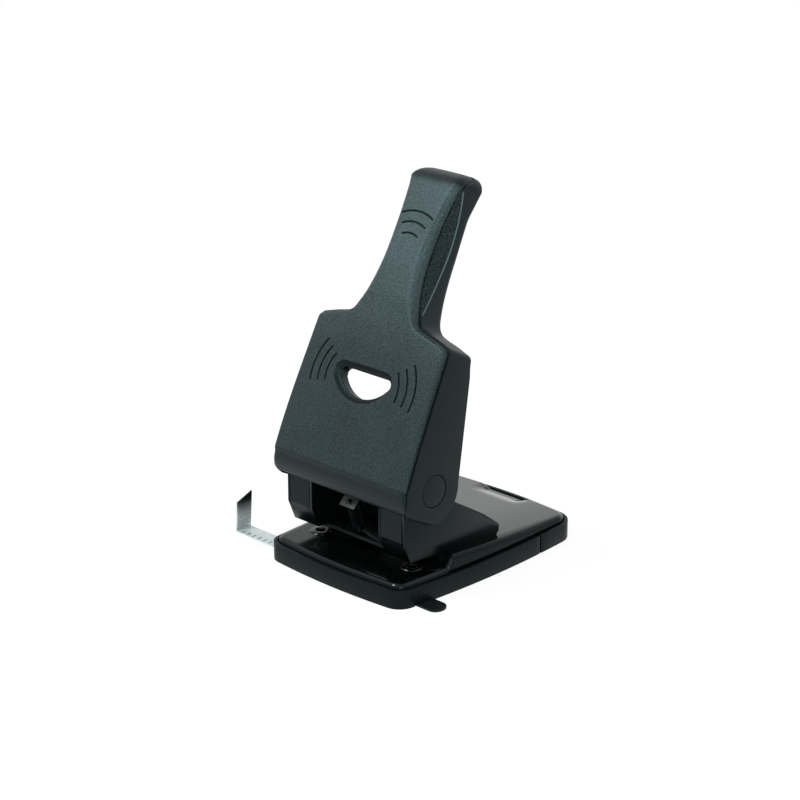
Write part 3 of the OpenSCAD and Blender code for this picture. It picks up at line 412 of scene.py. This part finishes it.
# Making of pieces
def body_of(node):
    """Name of the body that carries a CAD node."""
    return next(b for b, names in frame["record"]["behaviour"]["bodies"].items() if node in names)


def finish_piece(made, node, smooth_under=32):
    """Gives a finished mesh the body, slot and finish of the CAD node that it stands for."""
    made.data.materials.clear()
    made.data.materials.append(FINISHES[LOOK_OF[node]])
    made.data.shade_smooth()
    made.data.set_sharp_from_angle(angle=math.radians(smooth_under))
    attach(made, body_of(node))
    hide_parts(node)
    return made


def new_object(name, mesh):
    """Object of a mesh, in the scene."""
    made = bpy.data.objects.new(name, mesh)
    bpy.context.scene.collection.objects.link(made)
    return made


def mesh_from(name, points, faces):
    """Mesh from points in millimetres."""
    mesh = bpy.data.meshes.new(name)
    mesh.from_pydata([tuple(p) for p in np.asarray(points, float) / 1000], [], faces)
    work = bmesh.new()
    work.from_mesh(mesh)
    bmesh.ops.remove_doubles(work, verts=work.verts, dist=1e-6)
    bmesh.ops.recalc_face_normals(work, faces=work.faces)
    if work.calc_volume(signed=True) < 0:
        bmesh.ops.reverse_faces(work, faces=work.faces)
    work.to_mesh(mesh)
    work.free()
    return mesh


def solid(name, points, faces):
    """Object of a new mesh, both of one name."""
    return new_object(name, mesh_from(name, points, faces))


def bake(made):
    """Works the object's modifiers into its mesh."""
    depsgraph = bpy.context.evaluated_depsgraph_get()
    mesh = bpy.data.meshes.new_from_object(made.evaluated_get(depsgraph), depsgraph=depsgraph)
    made.modifiers.clear()
    made.data = mesh


def cut(made, cutters):
    """Takes the cutters away from a mesh."""
    for tool in cutters:
        step = made.modifiers.new("cut", "BOOLEAN")
        step.operation, step.solver, step.object = "DIFFERENCE", "MANIFOLD", tool
        bake(made)
        bpy.data.objects.remove(tool)


def rounded(node, radius, steps=2, from_angle=30):
    """Copy of a CAD node with its sharp edges rounded."""
    mesh = frame["nodes"][node].data.copy()
    work = bmesh.new()
    work.from_mesh(mesh)
    bmesh.ops.remove_doubles(work, verts=work.verts, dist=2e-6)
    bmesh.ops.dissolve_limit(work, angle_limit=math.radians(0.5), verts=work.verts, edges=work.edges)
    work.to_mesh(mesh)
    work.free()
    made = new_object(node + "_finished", mesh)
    edge = made.modifiers.new("edge", "BEVEL")
    edge.width, edge.segments, edge.limit_method = radius / 1000, steps, "ANGLE"
    edge.angle_limit = math.radians(from_angle)
    edge.use_clamp_overlap = True
    bake(made)
    return finish_piece(made, node)


# Curves and surfaces that the punch's forms follow
def smooth(u):
    """Soft step from 0 to 1."""
    u = np.clip(u, 0, 1)
    return u * u * (3 - 2 * u)


def arc(cx, cy, r, a0, a1, steps):
    """Points on a circle's arc, between two angles in degrees."""
    angles = np.radians(np.linspace(a0, a1, steps + 1))
    return np.stack([cx + r * np.cos(angles), cy + r * np.sin(angles)], 1)


def through(points, step):
    """Smooth line through the points, with a new point about every step."""
    p = np.asarray(points, float)
    p = np.vstack([2 * p[0] - p[1], p, 2 * p[-1] - p[-2]])
    out = []
    for a, b, c, d in zip(p, p[1:], p[2:], p[3:]):
        for u in np.arange(0, 1, 1 / max(1, round(np.linalg.norm(c - b) / step))):
            out.append(0.5 * (2 * b + (c - a) * u + (2 * a - 5 * b + 4 * c - d) * u**2
                              + (3 * b - a - 3 * c + d) * u**3))
    return np.array(out + [p[-2]])


def moulded(plan, top, low, top_round, low_round, rings=6, cross=18):
    """Body over a plan that is mirrored in x, with quarter-round edges, as the source's lofts."""
    plan = np.asarray(plan, float)
    ahead, behind = np.roll(plan, -1, 0), np.roll(plan, 1, 0)
    ahead[-1], behind[0] = plan[-1], plan[0]
    way = ahead - behind
    inward = np.stack([-way[:, 1], way[:, 0]], 1) / np.linalg.norm(way, axis=1)[:, None]
    inward[0], inward[-1] = (0, 1), (0, -1)
    # Rows of points that run along the plan, for the rounded edge, the spans across and the other edge
    sides = []
    for height, up, radius in ((top, 1, top_round), (low, -1, low_round)):
        q = radius(plan[:, 1]) + 0 * plan[:, 1]
        turns = np.radians(np.linspace(0, 90, rings + 1)) if q.max() > 0 else np.array([math.pi / 2])
        rows = []
        for a in turns:
            at = plan + (q * (1 - math.cos(a)))[:, None] * inward if q.max() > 0 else plan
            rows.append(np.stack([at[:, 0], at[:, 1], height(at[:, 0], at[:, 1])
                                  - up * q * (1 - math.sin(a))], 1))
        inner = rows[-1]
        spans = []
        for share in np.linspace(1, -1, cross + 2)[1:-1]:
            x = inner[:, 0] * share
            spans.append(np.stack([x, inner[:, 1], height(x, inner[:, 1])], 1))
        mirror = np.array([-1, 1, 1])
        sides.append(rows + spans + [r * mirror for r in reversed(rows)])
    loop = sides[0] + [r for r in reversed(sides[1])]
    count, stations = len(loop), len(plan)
    points = np.stack(loop, 1).reshape(-1, 3)
    faces = [(i * count + j, i * count + (j + 1) % count, (i + 1) * count + (j + 1) % count,
              (i + 1) * count + j) for i in range(stations - 1) for j in range(count)]
    # Closing faces at both ends of the plan: between the rows of each rounded edge, then the wall
    for at in (0, (stations - 1) * count):
        upper = [at + j for j in range(len(sides[0]))]
        under = [at + count - 1 - j for j in range(len(sides[1]))]
        wall = []
        for chain in (upper, under):
            rounds = (len(chain) - cross) // 2 - 1
            for k in range(rounds):
                inner = chain[k + 1:-1 - k] if k == rounds - 1 else [chain[k + 1], chain[-2 - k]]
                faces.append([chain[k], *inner, chain[-1 - k]])
            wall.append([chain[0], chain[-1]] if rounds else chain)
        faces.append(wall[0] + wall[1][::-1])
    return points, faces


def on_lever(points):
    """Points by x, t and n of the lever, moved to the object's frame."""
    p = np.asarray(points, float).reshape(-1, 3)
    x, t, n = p.T
    return np.stack([x, PIVOT_Y + t * math.sin(LEAN) - n * math.cos(LEAN),
                     PIVOT_Z + t * math.cos(LEAN) + n * math.sin(LEAN)], 1)


def raised(ring, n):
    """Closed line in the lever's front view, at one height."""
    return on_lever([(x, t, n) for x, t in ring])


def face(t):
    """Height of the cover's face, with the bow of its length and the turn of its foot."""
    t = np.asarray(t, float)
    foot = np.clip(FOOT_TURN - t, 0, FOOT_ROUND - 0.3)
    return (FACE_N - (t - FACE_TOP_T) ** 2 / (2 * np.where(t < FACE_TOP_T, FACE_BOW, HANDLE_BOW))
            - CREASE * smooth(foot / 4) - FOOT_ROUND + np.sqrt(FOOT_ROUND**2 - foot**2)
            - 0.08 * np.clip(t - LEVER_LEN + 10, 0, None) ** 2 + RISE * smooth((t - RISE_T) / RISE_RUN))


def crown(x, t):
    """Fall of the cover's face towards its sides."""
    return (0.2 + 0.8 * smooth(t / SHOULDER_T)) * FACE_CROWN * (x / SHOULDER_HALF) ** 2


def seam(t):
    """Joint of cover and housing, which drops to the rear at the tip."""
    t = np.asarray(t, float)
    main = (SEAM_N - SEAM_SINK * smooth((SEAM_SINK_T - t) / SEAM_SINK_RUN)
            - SEAM_FALL * np.clip(t - SEAM_FALL_T, 0, None)
            - TIP_DROP * smooth((t - GRIP_HIGH + 0.5) / TIP_DROP_RUN))
    foot = face(t) - SEAM_FOOT + SEAM_FOOT_RISE * smooth((FOOT_TURN - t) / SEAM_FOOT_RUN)
    return np.where(t < FOOT_TURN, foot, main)


def rear(t):
    """Rear of the housing: round at the foot, straight along the body and swelled in the palm."""
    t = np.asarray(t, float)
    foot = -np.sqrt(np.clip((FOOT_R + REAR_STEP) ** 2 - t**2, 0.01, None))
    bend = np.clip(t - REAR_BEND_T, 0, None) / (REAR_HIGH_T - REAR_BEND_T)
    body = REAR_N + REAR_RISE * (t - REAR_LOW_T) / REAR_RISE_RUN - 2 * bend**2
    palm = PALM_SWELL * np.clip(1 - ((t - NECK_T) / PALM_REACH) ** 2, 0, None) ** 2
    handle = REAR_STEP + REAR_FLARE * (t - REAR_HIGH_T) / (LEVER_LEN - REAR_HIGH_T) - palm
    return np.where(t < REAR_LOW_T, foot, np.where(t < REAR_HIGH_T, body, handle))


def neck(t):
    """Half the width of the handle."""
    t = np.asarray(t, float)
    return NECK_HALF + np.where(t < NECK_T, 0.00498, 0.00213) * (t - NECK_T) ** 2


def lever_plan(d, step=2.0):
    """Right half of the lever's front view, drawn in by d."""
    # Half widths s at the shoulder, b at the foot and w at the tip, with heights q, z and top
    s, b, z = SHOULDER_HALF - d, LEVER_HALF + 0.4 - d, -FOOT_R + d
    top, q, w = LEVER_LEN - d, SHOULDER_T - d, float(neck(LEVER_LEN - 8)) - d
    foot = np.array([[x, z + FOOT_BOW * x * x] for x in np.linspace(2, 44, 12)])
    corner = arc(b - CORNER_R, z + CORNER_R + 0.4, CORNER_R, -84, 0, 7)
    heights = np.concatenate([np.arange(z + 5.4, FOOT_TURN - 3, 1.2),
                              np.arange(FOOT_TURN - 3, FOOT_TURN + 2, 0.6),
                              np.arange(FOOT_TURN + 2, q - 5.2, step)])
    side = np.stack([b + (s - b) * (heights - z) / (q - z), heights], 1)
    shoulder = arc(s - CORNER_R, q - CORNER_R, CORNER_R, 0, 70, 8)
    dents = [[x - d * share, q + rise] for x, rise, share in SHOULDER_BEND]
    bend = through([shoulder[-1], *dents, [float(neck(FILLET_T)) - d, FILLET_T]], step * 0.6)[1:-1]
    ts = np.arange(FILLET_T, LEVER_LEN - 12, step)
    grip = np.stack([neck(ts) - d, ts], 1)
    crest = arc(w - 7.6, top - 8.4, 8, 4, 84, 12)
    end = np.array([[x, top - 0.6 * (x / w) ** 2 - 0.02] for x in np.linspace(w - 7, 1, 8)])
    return np.vstack([foot, corner, side, shoulder, bend, grip, crest, end])


def outline(points, low, high):
    """Prism over a closed outline in the lever's front view."""
    n = len(points)
    places = [(x, t, h) for h in (low, high) for x, t in points]
    faces = [(i, (i + 1) % n, n + (i + 1) % n, n + i) for i in range(n)]
    return on_lever(places), faces + [tuple(range(n - 1, -1, -1)), tuple(range(n, 2 * n))]


def window(d, steps=10):
    """Rounded D of the window, grown by d."""
    cx, cy = WINDOW_W / 2 - WINDOW_CORNER, WINDOW_T - WINDOW_CORNER
    r = ((cx**2 + (WINDOW_H - WINDOW_CORNER) ** 2 - WINDOW_CORNER**2)
         / (2 * (WINDOW_H - 2 * WINDOW_CORNER)))
    a = math.degrees(math.asin(cx / (r - WINDOW_CORNER)))
    return np.vstack([arc(cx, cy, WINDOW_CORNER + d, a - 90, 90, steps),
                      arc(-cx, cy, WINDOW_CORNER + d, 90, 270 - a, steps),
                      arc(0, WINDOW_T - WINDOW_H + r, r + d, 270 - a + 3, 270 + a - 3, 30)])


def stacked(rings):
    """Closed body through rings of equal length."""
    n = len(rings[0])
    faces = [(k * n + i, k * n + (i + 1) % n, (k + 1) * n + (i + 1) % n, (k + 1) * n + i)
             for k in range(len(rings) - 1) for i in range(n)]
    last = (len(rings) - 1) * n
    return np.vstack(rings), faces + [tuple(range(n - 1, -1, -1)), tuple(range(last, last + n))]


def tube(path, radius, sides=12, lift=(0, 0, 1)):
    """Round bar along a path."""
    path = np.asarray(path, float)
    way = np.gradient(path, axis=0)
    way /= np.linalg.norm(way, axis=1)[:, None]
    u = np.cross(way, np.broadcast_to(np.asarray(lift, float), way.shape))
    u /= np.linalg.norm(u, axis=1)[:, None]
    v = np.cross(way, u)
    return stacked([p + radius * (np.cos(a)[:, None] * uu + np.sin(a)[:, None] * vv)
                    for p, uu, vv in zip(path, u, v)
                    for a in [np.radians(np.arange(sides) * 360 / sides)]])


# Front cover
def cover_edge(t):
    """Radius of the cover's edge, small at the foot and large along the handle."""
    along = FOOT_EDGE + (COVER_ROUND - FOOT_EDGE) * smooth((t + FOOT_R) / FOOT_EDGE_RUN)
    return along + HANDLE_EDGE * smooth((t - RISE_T) / RISE_RUN)


def groove(line):
    """Cutter for an engraved line in the cover's face."""
    height = face(line[:, 1]) - crown(line[:, 0], line[:, 1]) - GROOVE_SINK
    path = on_lever(np.stack([line[:, 0], line[:, 1], height], 1))
    forward = (0, -math.cos(LEAN), math.sin(LEAN))
    return solid("groove_cutter", *tube(path, GROOVE_R, 10, forward))


def collar():
    """Wall round the window, behind the face."""
    inner, outer = window(0.0), window(COLLAR_T)
    rings = [raised(outer, COLLAR_LOW), raised(outer, COLLAR_HIGH), raised(inner, COLLAR_HIGH),
             raised(inner, COLLAR_LOW)]
    count = len(inner)
    band = [(k * count + i, k * count + (i + 1) % count, (k + 1) % 4 * count + (i + 1) % count,
             (k + 1) % 4 * count + i) for k in range(4) for i in range(count)]
    return solid("collar", np.vstack(rings), band)


def boss(x, t):
    """Post behind the face that takes a screw."""
    ring = arc(x, t, BOSS_R, 0, 360, 24)[:-1]
    return solid("boss", *stacked([raised(ring, n) for n in (BOSS_N, COLLAR_HIGH)]))


def joined(made, parts):
    """Adds the meshes of the parts to the first object."""
    work = bmesh.new()
    work.from_mesh(made.data)
    for part in parts:
        work.from_mesh(part.data)
        bpy.data.objects.remove(part)
    work.to_mesh(made.data)
    work.free()


def front_cover():
    """Cover with its window, crease and engraved arcs, and the collar and posts behind it."""
    plan = lever_plan(COVER_STEP)
    plan[:, 1] += TIP_WRAP * smooth((plan[:, 1] - GRIP_HIGH) / TIP_WRAP_RUN)
    points, faces = moulded(plan, lambda x, t: face(t) - crown(x, t), lambda x, t: seam(t) + 0.1,
                            cover_edge, lambda t: 0 * t, cross=30)
    made = solid("front_cover", on_lever(points), faces)
    cutters = [solid("window_cutter", *stacked([raised(window(d), n) for d, n in WINDOW_LEVELS]))]
    for centre, radii, low, high in ENGRAVED:
        cutters += [groove(arc(*centre, radius, low, high, 30)) for radius in radii]
    cut(made, cutters)
    joined(made, [collar()] + [boss(x, t) for x in (-BOSS_X, BOSS_X) for t in (BOSS_LOW_T, BOSS_HIGH_T)])
    finish_piece(made, "lever_cover", 24)


# Rear housing with the pockets for caps and inlays
def rear_edge(t):
    """Radius of the housing's rear edge, large along the handle and small again at its tip."""
    return sum((more * smooth((t - start) / run) for more, start, run in REAR_EDGE_STEPS), REAR_EDGE)


def rear_housing():
    """Side walls, shoulders and handle in one moulding, which is hollow up to the neck."""
    points, faces = moulded(lever_plan(0), lambda x, t: seam(t), lambda x, t: rear(t),
                            lambda t: 0.6 + 0 * t, rear_edge, cross=10)
    made = solid("rear_housing", on_lever(points), faces)
    inside = lever_plan(HOUSING_WALL)
    inside = inside[inside[:, 1] < FILLET_T - 3]
    inside[:, 1] = np.where(inside[:, 1] < -FOOT_R + HOUSING_WALL + 1, -40, inside[:, 1])
    inside = inside[np.concatenate([[True], np.linalg.norm(np.diff(inside, axis=0), axis=1) > 0.01])]
    left = inside[::-1] * np.array([-1, 1])
    hollow = np.vstack([inside, [[14, 92], [-14, 92]], left])
    cutters = [solid("hollow_cutter", *outline(hollow, -60, 60))]
    for side in (-1, 1):
        cutters.append(cap_cutter(side, CAP_D / 2 + CAP_GAP, -CAP_IN, 4, 64))
        cutters.append(cap_cutter(side, CAP_SEAT_R, -9, 6, 32))
        cutters.append(grip_cutter(side))
    cut(made, cutters)
    finish_piece(made, "lever_housing", 28)


def cap_cutter(side, radius, low, high, steps):
    """Cutter for a round pocket that stands square to the lever's sloping side."""
    slope = math.atan((LEVER_HALF - SHOULDER_HALF) / SHOULDER_T)
    across = np.array([math.cos(slope), math.sin(slope), 0])
    along = np.array([-math.sin(slope), math.cos(slope), 0])
    centre = np.array([LEVER_HALF - CAP_SINK, 0, 0])
    rings = []
    for h in (low, high):
        ring = [centre + across * h + radius * (math.cos(a) * along + math.sin(a) * np.array([0, 0, 1]))
                for a in np.radians(np.arange(steps) * 360 / steps)]
        rings.append(on_lever(np.array(ring) * (side, 1, 1)))
    return solid("cap_cutter", *stacked(rings))


def grip_body(side, levels, ends, front, rows=48, across=8):
    """Body that follows the handle's side through levels of growth and offset, inside the lens."""
    rings = []
    for t in np.linspace(GRIP_LOW - ends, GRIP_HIGH + ends, rows):
        ring = []
        for k, (grow, offset) in enumerate(levels):
            x = side * (float(neck(t)) + offset)
            n = np.linspace(lens_back(t) - grow, seam(t) + front, across)
            if k in (0, len(levels) - 1):
                ring += [(x, t, h) for h in (n[::-1] if k == 0 else n)]
            else:
                ring.append((x, t, n[0]))
        rings.append(on_lever(ring))
    return stacked(rings)


def grip_cutter(side):
    """Cutter for the pocket of an inlay, whose upper levels open it to the outside."""
    levels = ((0.3, -GRIP_T - 0.3), (0.3, -0.8), (1.2, 0.0), (2.4, 4.0))
    return solid("grip_cutter", *grip_body(side, levels, 0.3, 1.0))


def grip(side, node):
    """Soft inlay with a rounded edge."""
    levels = ((0.0, -GRIP_T), (0.0, -0.5), (0.3, -0.15))
    made = new_object(node + "_finished", mesh_from(node, *grip_body(side, levels, 0, -0.1)))
    finish_piece(made, node, 40)


# Base plan, drawn in by d
def bowed(a, b, bow, u):
    """Points along a line that bows out to its right, at the shares u."""
    a, b, u = np.asarray(a, float), np.asarray(b, float), np.asarray(u, float)[:, None]
    way = b - a
    side = np.array([way[1], -way[0]]) / np.linalg.norm(way)
    return a + way * u + 4 * bow * u * (1 - u) * side


def half_plan(d):
    """Right half of the base's outline, from the middle of its front to the middle of its rear."""
    # Centres, radii and slopes of the front corner (fc, fr, tf) and of the rear one (rc, rr, ts)
    w = BASE_W / 2
    fc, rc = (w - FRONT_CORNER, -BASE_FRONT + FRONT_CORNER), (w - REAR_CORNER, BASE_REAR - REAR_CORNER)
    fr, rr = FRONT_CORNER - d, REAR_CORNER - d
    tf = math.degrees(math.atan(4 * BOW_END / (2 * fc[0])))
    ts = math.degrees(math.atan(4 * BOW_SIDE / (rc[1] - fc[1])))
    return np.vstack([
        bowed((-fc[0], fc[1] - fr), (fc[0], fc[1] - fr), BOW_END, np.linspace(0.51, 0.99, 24)),
        arc(*fc, fr, -90 + tf, -ts, 14),
        bowed((w - d, fc[1]), (w - d, rc[1]), BOW_SIDE, np.linspace(0, 1, 110)[1:-1]),
        arc(*rc, rr, ts, 90 - tf, 14),
        bowed((rc[0], rc[1] + rr), (-rc[0], rc[1] + rr), BOW_END, np.linspace(0.01, 0.49, 24))])


def deck_top(x, y):
    """Height of the deck: flat throat, riser, sloping rear and the finger dip at its end."""
    line = RIDGE_Z - DECK_FALL * (y - STOP_DEPTH - STOP_RUN)
    dip = DIP_DEPTH * smooth((DIP_W / 2 - np.abs(x)) / DIP_SHOULDER)
    dip = dip * smooth((y - BASE_REAR + DIP_START) / DIP_RUN)
    step = smooth((y - STOP_DEPTH) / STOP_RUN)
    return DECK_Z + (line - DECK_Z) * step - dip


def deck():
    """Pressed deck with its turned skirt, hollow below, and the holes for pins and rivets."""
    points, faces = moulded(half_plan(DECK_INSET), deck_top, lambda x, y: SKIRT_Z + 0 * y,
                            lambda y: DECK_EDGE + 0 * y, lambda y: 0 * y, rings=8, cross=40)
    made = solid("deck", points, faces)
    inner, inner_faces = moulded(
        half_plan(DECK_INSET + DECK_T), lambda x, y: deck_top(x, y) - DECK_T,
        lambda x, y: SKIRT_Z - 1 + 0 * y, lambda y: DECK_EDGE - DECK_T + 0 * y, lambda y: 0 * y,
        rings=4, cross=12)
    cutters = [solid("deck_hollow", inner, inner_faces)]
    for x in (-PIN_X, PIN_X):
        for y, radius in DECK_HOLES:
            ring = arc(x, y, radius, 0, 360, 32)[:-1]
            rings = [np.column_stack([ring, np.full(len(ring), z)]) for z in (5, 30)]
            cutters.append(solid("hole_cutter", *stacked(rings)))
    cut(made, cutters)
    finish_piece(made, "base_plate", 40)


# Springs as round wire
def pin_spring(side, node):
    """Compression spring with closed ends."""
    low, high, turns, closed, coil, wire = 27.36, 46.8, 6.5, 0.75, 6, 0.6
    turn = np.linspace(0, turns, int(turns * 32))
    rise = np.interp(turn, [0, closed, turns - closed, turns], [0, 0.07, 0.93, 1])
    a = 2 * math.pi * turn
    path = np.stack([coil * np.cos(a), coil * np.sin(a), low + (high - low) * rise], 1)
    path = path * (side, 1, 1) + (side * PIN_X, 0, 0)
    made = new_object(node + "_wound", mesh_from(node, *tube(path, wire)))
    return finish_piece(made, node, 60)


def return_spring():
    """Extension spring from the lever's tab down to the plate between the towers."""
    foot, top = np.array([0, -3.5, 25.8]), np.array([0, -12.1, 50.4])
    axis = top - foot
    length = np.linalg.norm(axis)
    axis /= length
    back = np.cross(axis, (1, 0, 0))
    lead, radius, turns = 5.2, 3.2, 11
    a = 2 * math.pi * np.linspace(0, turns, turns * 28)
    climb = np.linspace(lead, length - lead, len(a))
    winding = np.stack([radius * np.cos(a), radius * np.sin(a), climb], 1)
    below = through([[0, 0, 0], [0, 0, 2.4], [1.4, -0.6, 4.4], winding[0]], 0.4)
    above = through([winding[-1], [1.4, 0.6, length - 4.4], [0, 0, length - 2.4], [0, 0, length]], 0.4)
    path = np.vstack([below[:-1], winding, above[1:]])
    path = foot + path[:, :1] * (1, 0, 0) + path[:, 1:2] * back + path[:, 2:] * axis
    coil = mesh_from("return_spring", *tube(path, 0.5, 10, (0.3, 0.9, 0.2)))
    made = new_object("return_spring_wound", coil)
    finish_piece(made, "return_spring", 60)


def tower(side, node):
    """Folded tower with the joints between its front flap and its side plates."""
    made = rounded(node, 0.5)
    path = np.array(FLAP_PATH)
    loop = np.vstack([path - (JOINT_OUT, 0), path[::-1] + (JOINT_IN, 0)])
    cutters = []
    for x in FLAP_JOINTS:
        sides = (side * (x - JOINT_HALF), side * (x + JOINT_HALF))
        rings = [np.column_stack([np.full(len(loop), edge), loop]) for edge in sides]
        cutters.append(solid("joint_cutter", *stacked(rings)))
    cut(made, cutters)
    # The cuts leave new edges, which are sharp too
    made.data.set_sharp_from_angle(angle=math.radians(32))


front_cover()
rear_housing()
deck()
tower(-1, "tower_left")
tower(1, "tower_right")
grip(1, "grip_right")
grip(-1, "grip_left")
for node, radius in EDGE_ROUNDS.items():
    rounded(node, radius)
for side, node in ((-1, "spring_left"), (1, "spring_right")):
    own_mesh(pin_spring(side, node))
return_spring()


# Marks along the paper guide
def scale_marks(spacing=5.0, count=13):
    """Row of short marks by Geometry Nodes, on the guide's strip."""
    first, size = (-0.088, -0.0226, 0.00683), (0.0006, 0.0032, 0.0001)
    tree = bpy.data.node_groups.new("scale_marks", "GeometryNodeTree")
    ports = {name: tree.interface.new_socket(name, in_out="INPUT", socket_type=kind)
             for name, kind in (("Count", "NodeSocketInt"), ("Spacing", "NodeSocketFloat"))}
    tree.interface.new_socket("Geometry", in_out="OUTPUT", socket_type="NodeSocketGeometry")

    def node(kind, **values):
        made = tree.nodes.new(kind)
        for name, value in values.items():
            socket = made.inputs[name.replace("_", " ")]
            if isinstance(value, bpy.types.NodeSocket):
                tree.links.new(value, socket)
            else:
                socket.default_value = value
        return made

    given = node("NodeGroupInput").outputs
    step = node("ShaderNodeCombineXYZ", X=given["Spacing"]).outputs[0]
    row = node("GeometryNodeMeshLine", Count=given["Count"], Offset=step,
               Start_Location=first).outputs[0]
    mark = node("GeometryNodeMeshCube", Size=size).outputs[0]
    marks = node("GeometryNodeInstanceOnPoints", Points=row, Instance=mark).outputs[0]
    whole = node("GeometryNodeRealizeInstances", Geometry=marks).outputs[0]
    inked = node("GeometryNodeSetMaterial", Geometry=whole, Material=FINISHES["printed_black"]).outputs[0]
    node("NodeGroupOutput", Geometry=inked)
    made = new_object("scale_marks", bpy.data.meshes.new("scale_marks"))
    pattern = made.modifiers.new("pattern", "NODES")
    pattern.node_group = tree
    pattern[ports["Count"].identifier] = count
    pattern[ports["Spacing"].identifier] = spacing / 1000
    bake(made)
    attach(made, body_of("paper_guide"))


scale_marks()


# Floor, background and light
def seen_ray(tree, *kinds):
    """1 for a ray of one of the kinds, as the camera's own, and 0 for the rest."""
    rays = tree.nodes.new("ShaderNodeLightPath")
    seen = Number(tree, rays.outputs[kinds[0]])
    for kind in kinds[1:]:
        seen = seen.work("MAXIMUM", Number(tree, rays.outputs[kind]))
    return seen


def floor():
    """Pale floor that glows white to the camera and to what mirrors it."""
    mesh = bpy.data.meshes.new("floor")
    half, below = 6.0, -0.0003
    corners = [(-half, -half, below), (half, -half, below), (half, half, below), (-half, half, below)]
    mesh.from_pydata(corners, [], [(0, 1, 2, 3)])
    made = new_object("floor", mesh)
    f = Finish("floor_white", Base_Color=(0.9, 0.9, 0.9, 1), Roughness=0.9, Specular_IOR_Level=0.0)
    glow = f.tree.nodes.new("ShaderNodeEmission")
    glow.inputs["Strength"].default_value = FLOOR_GLOW
    seen = seen_ray(f.tree, "Is Camera Ray", "Is Glossy Ray")
    mix = f.tree.nodes.new("ShaderNodeMixShader")
    f.tree.links.new((seen * FLOOR_SHARE).socket, mix.inputs["Fac"])
    f.tree.links.new(f.shader.outputs[0], mix.inputs[1])
    f.tree.links.new(glow.outputs[0], mix.inputs[2])
    f.tree.links.new(mix.outputs[0], f.tree.nodes["Material Output"].inputs["Surface"])
    mesh.materials.append(f.material)


def background():
    """White world, dimmer where it only lights the surfaces."""
    world = bpy.data.worlds.new("studio")
    bpy.context.scene.world = world
    world.use_nodes = True
    tree = world.node_tree
    back = tree.nodes["Background"]
    back.inputs["Color"].default_value = (1, 1, 1, 1)
    seen = seen_ray(tree, "Is Camera Ray", "Is Glossy Ray", "Is Transmission Ray")
    strength = seen * (1.0 - ROOM_LIGHT) + ROOM_LIGHT
    tree.links.new(strength.socket, back.inputs["Strength"])


def lamp(name, place, aim, size, watts):
    """Soft lamp that faces its aim."""
    data = bpy.data.lights.new(name, "AREA")
    data.shape, data.size, data.size_y, data.energy = "RECTANGLE", size[0], size[1], watts
    made = bpy.data.objects.new(name, data)
    bpy.context.scene.collection.objects.link(made)
    made.location = place
    made.rotation_mode = "QUATERNION"
    made.rotation_quaternion = (Vector(aim) - Vector(place)).to_track_quat("-Z", "Y")


floor()
background()
lamp("key", (-0.5, -0.9, 1.4), (0, 0, 0.16), (0.45, 0.45), 18)
lamp("side", (1.4, -0.9, 0.7), (0, 0.0, 0.15), (0.7, 0.9), 9)
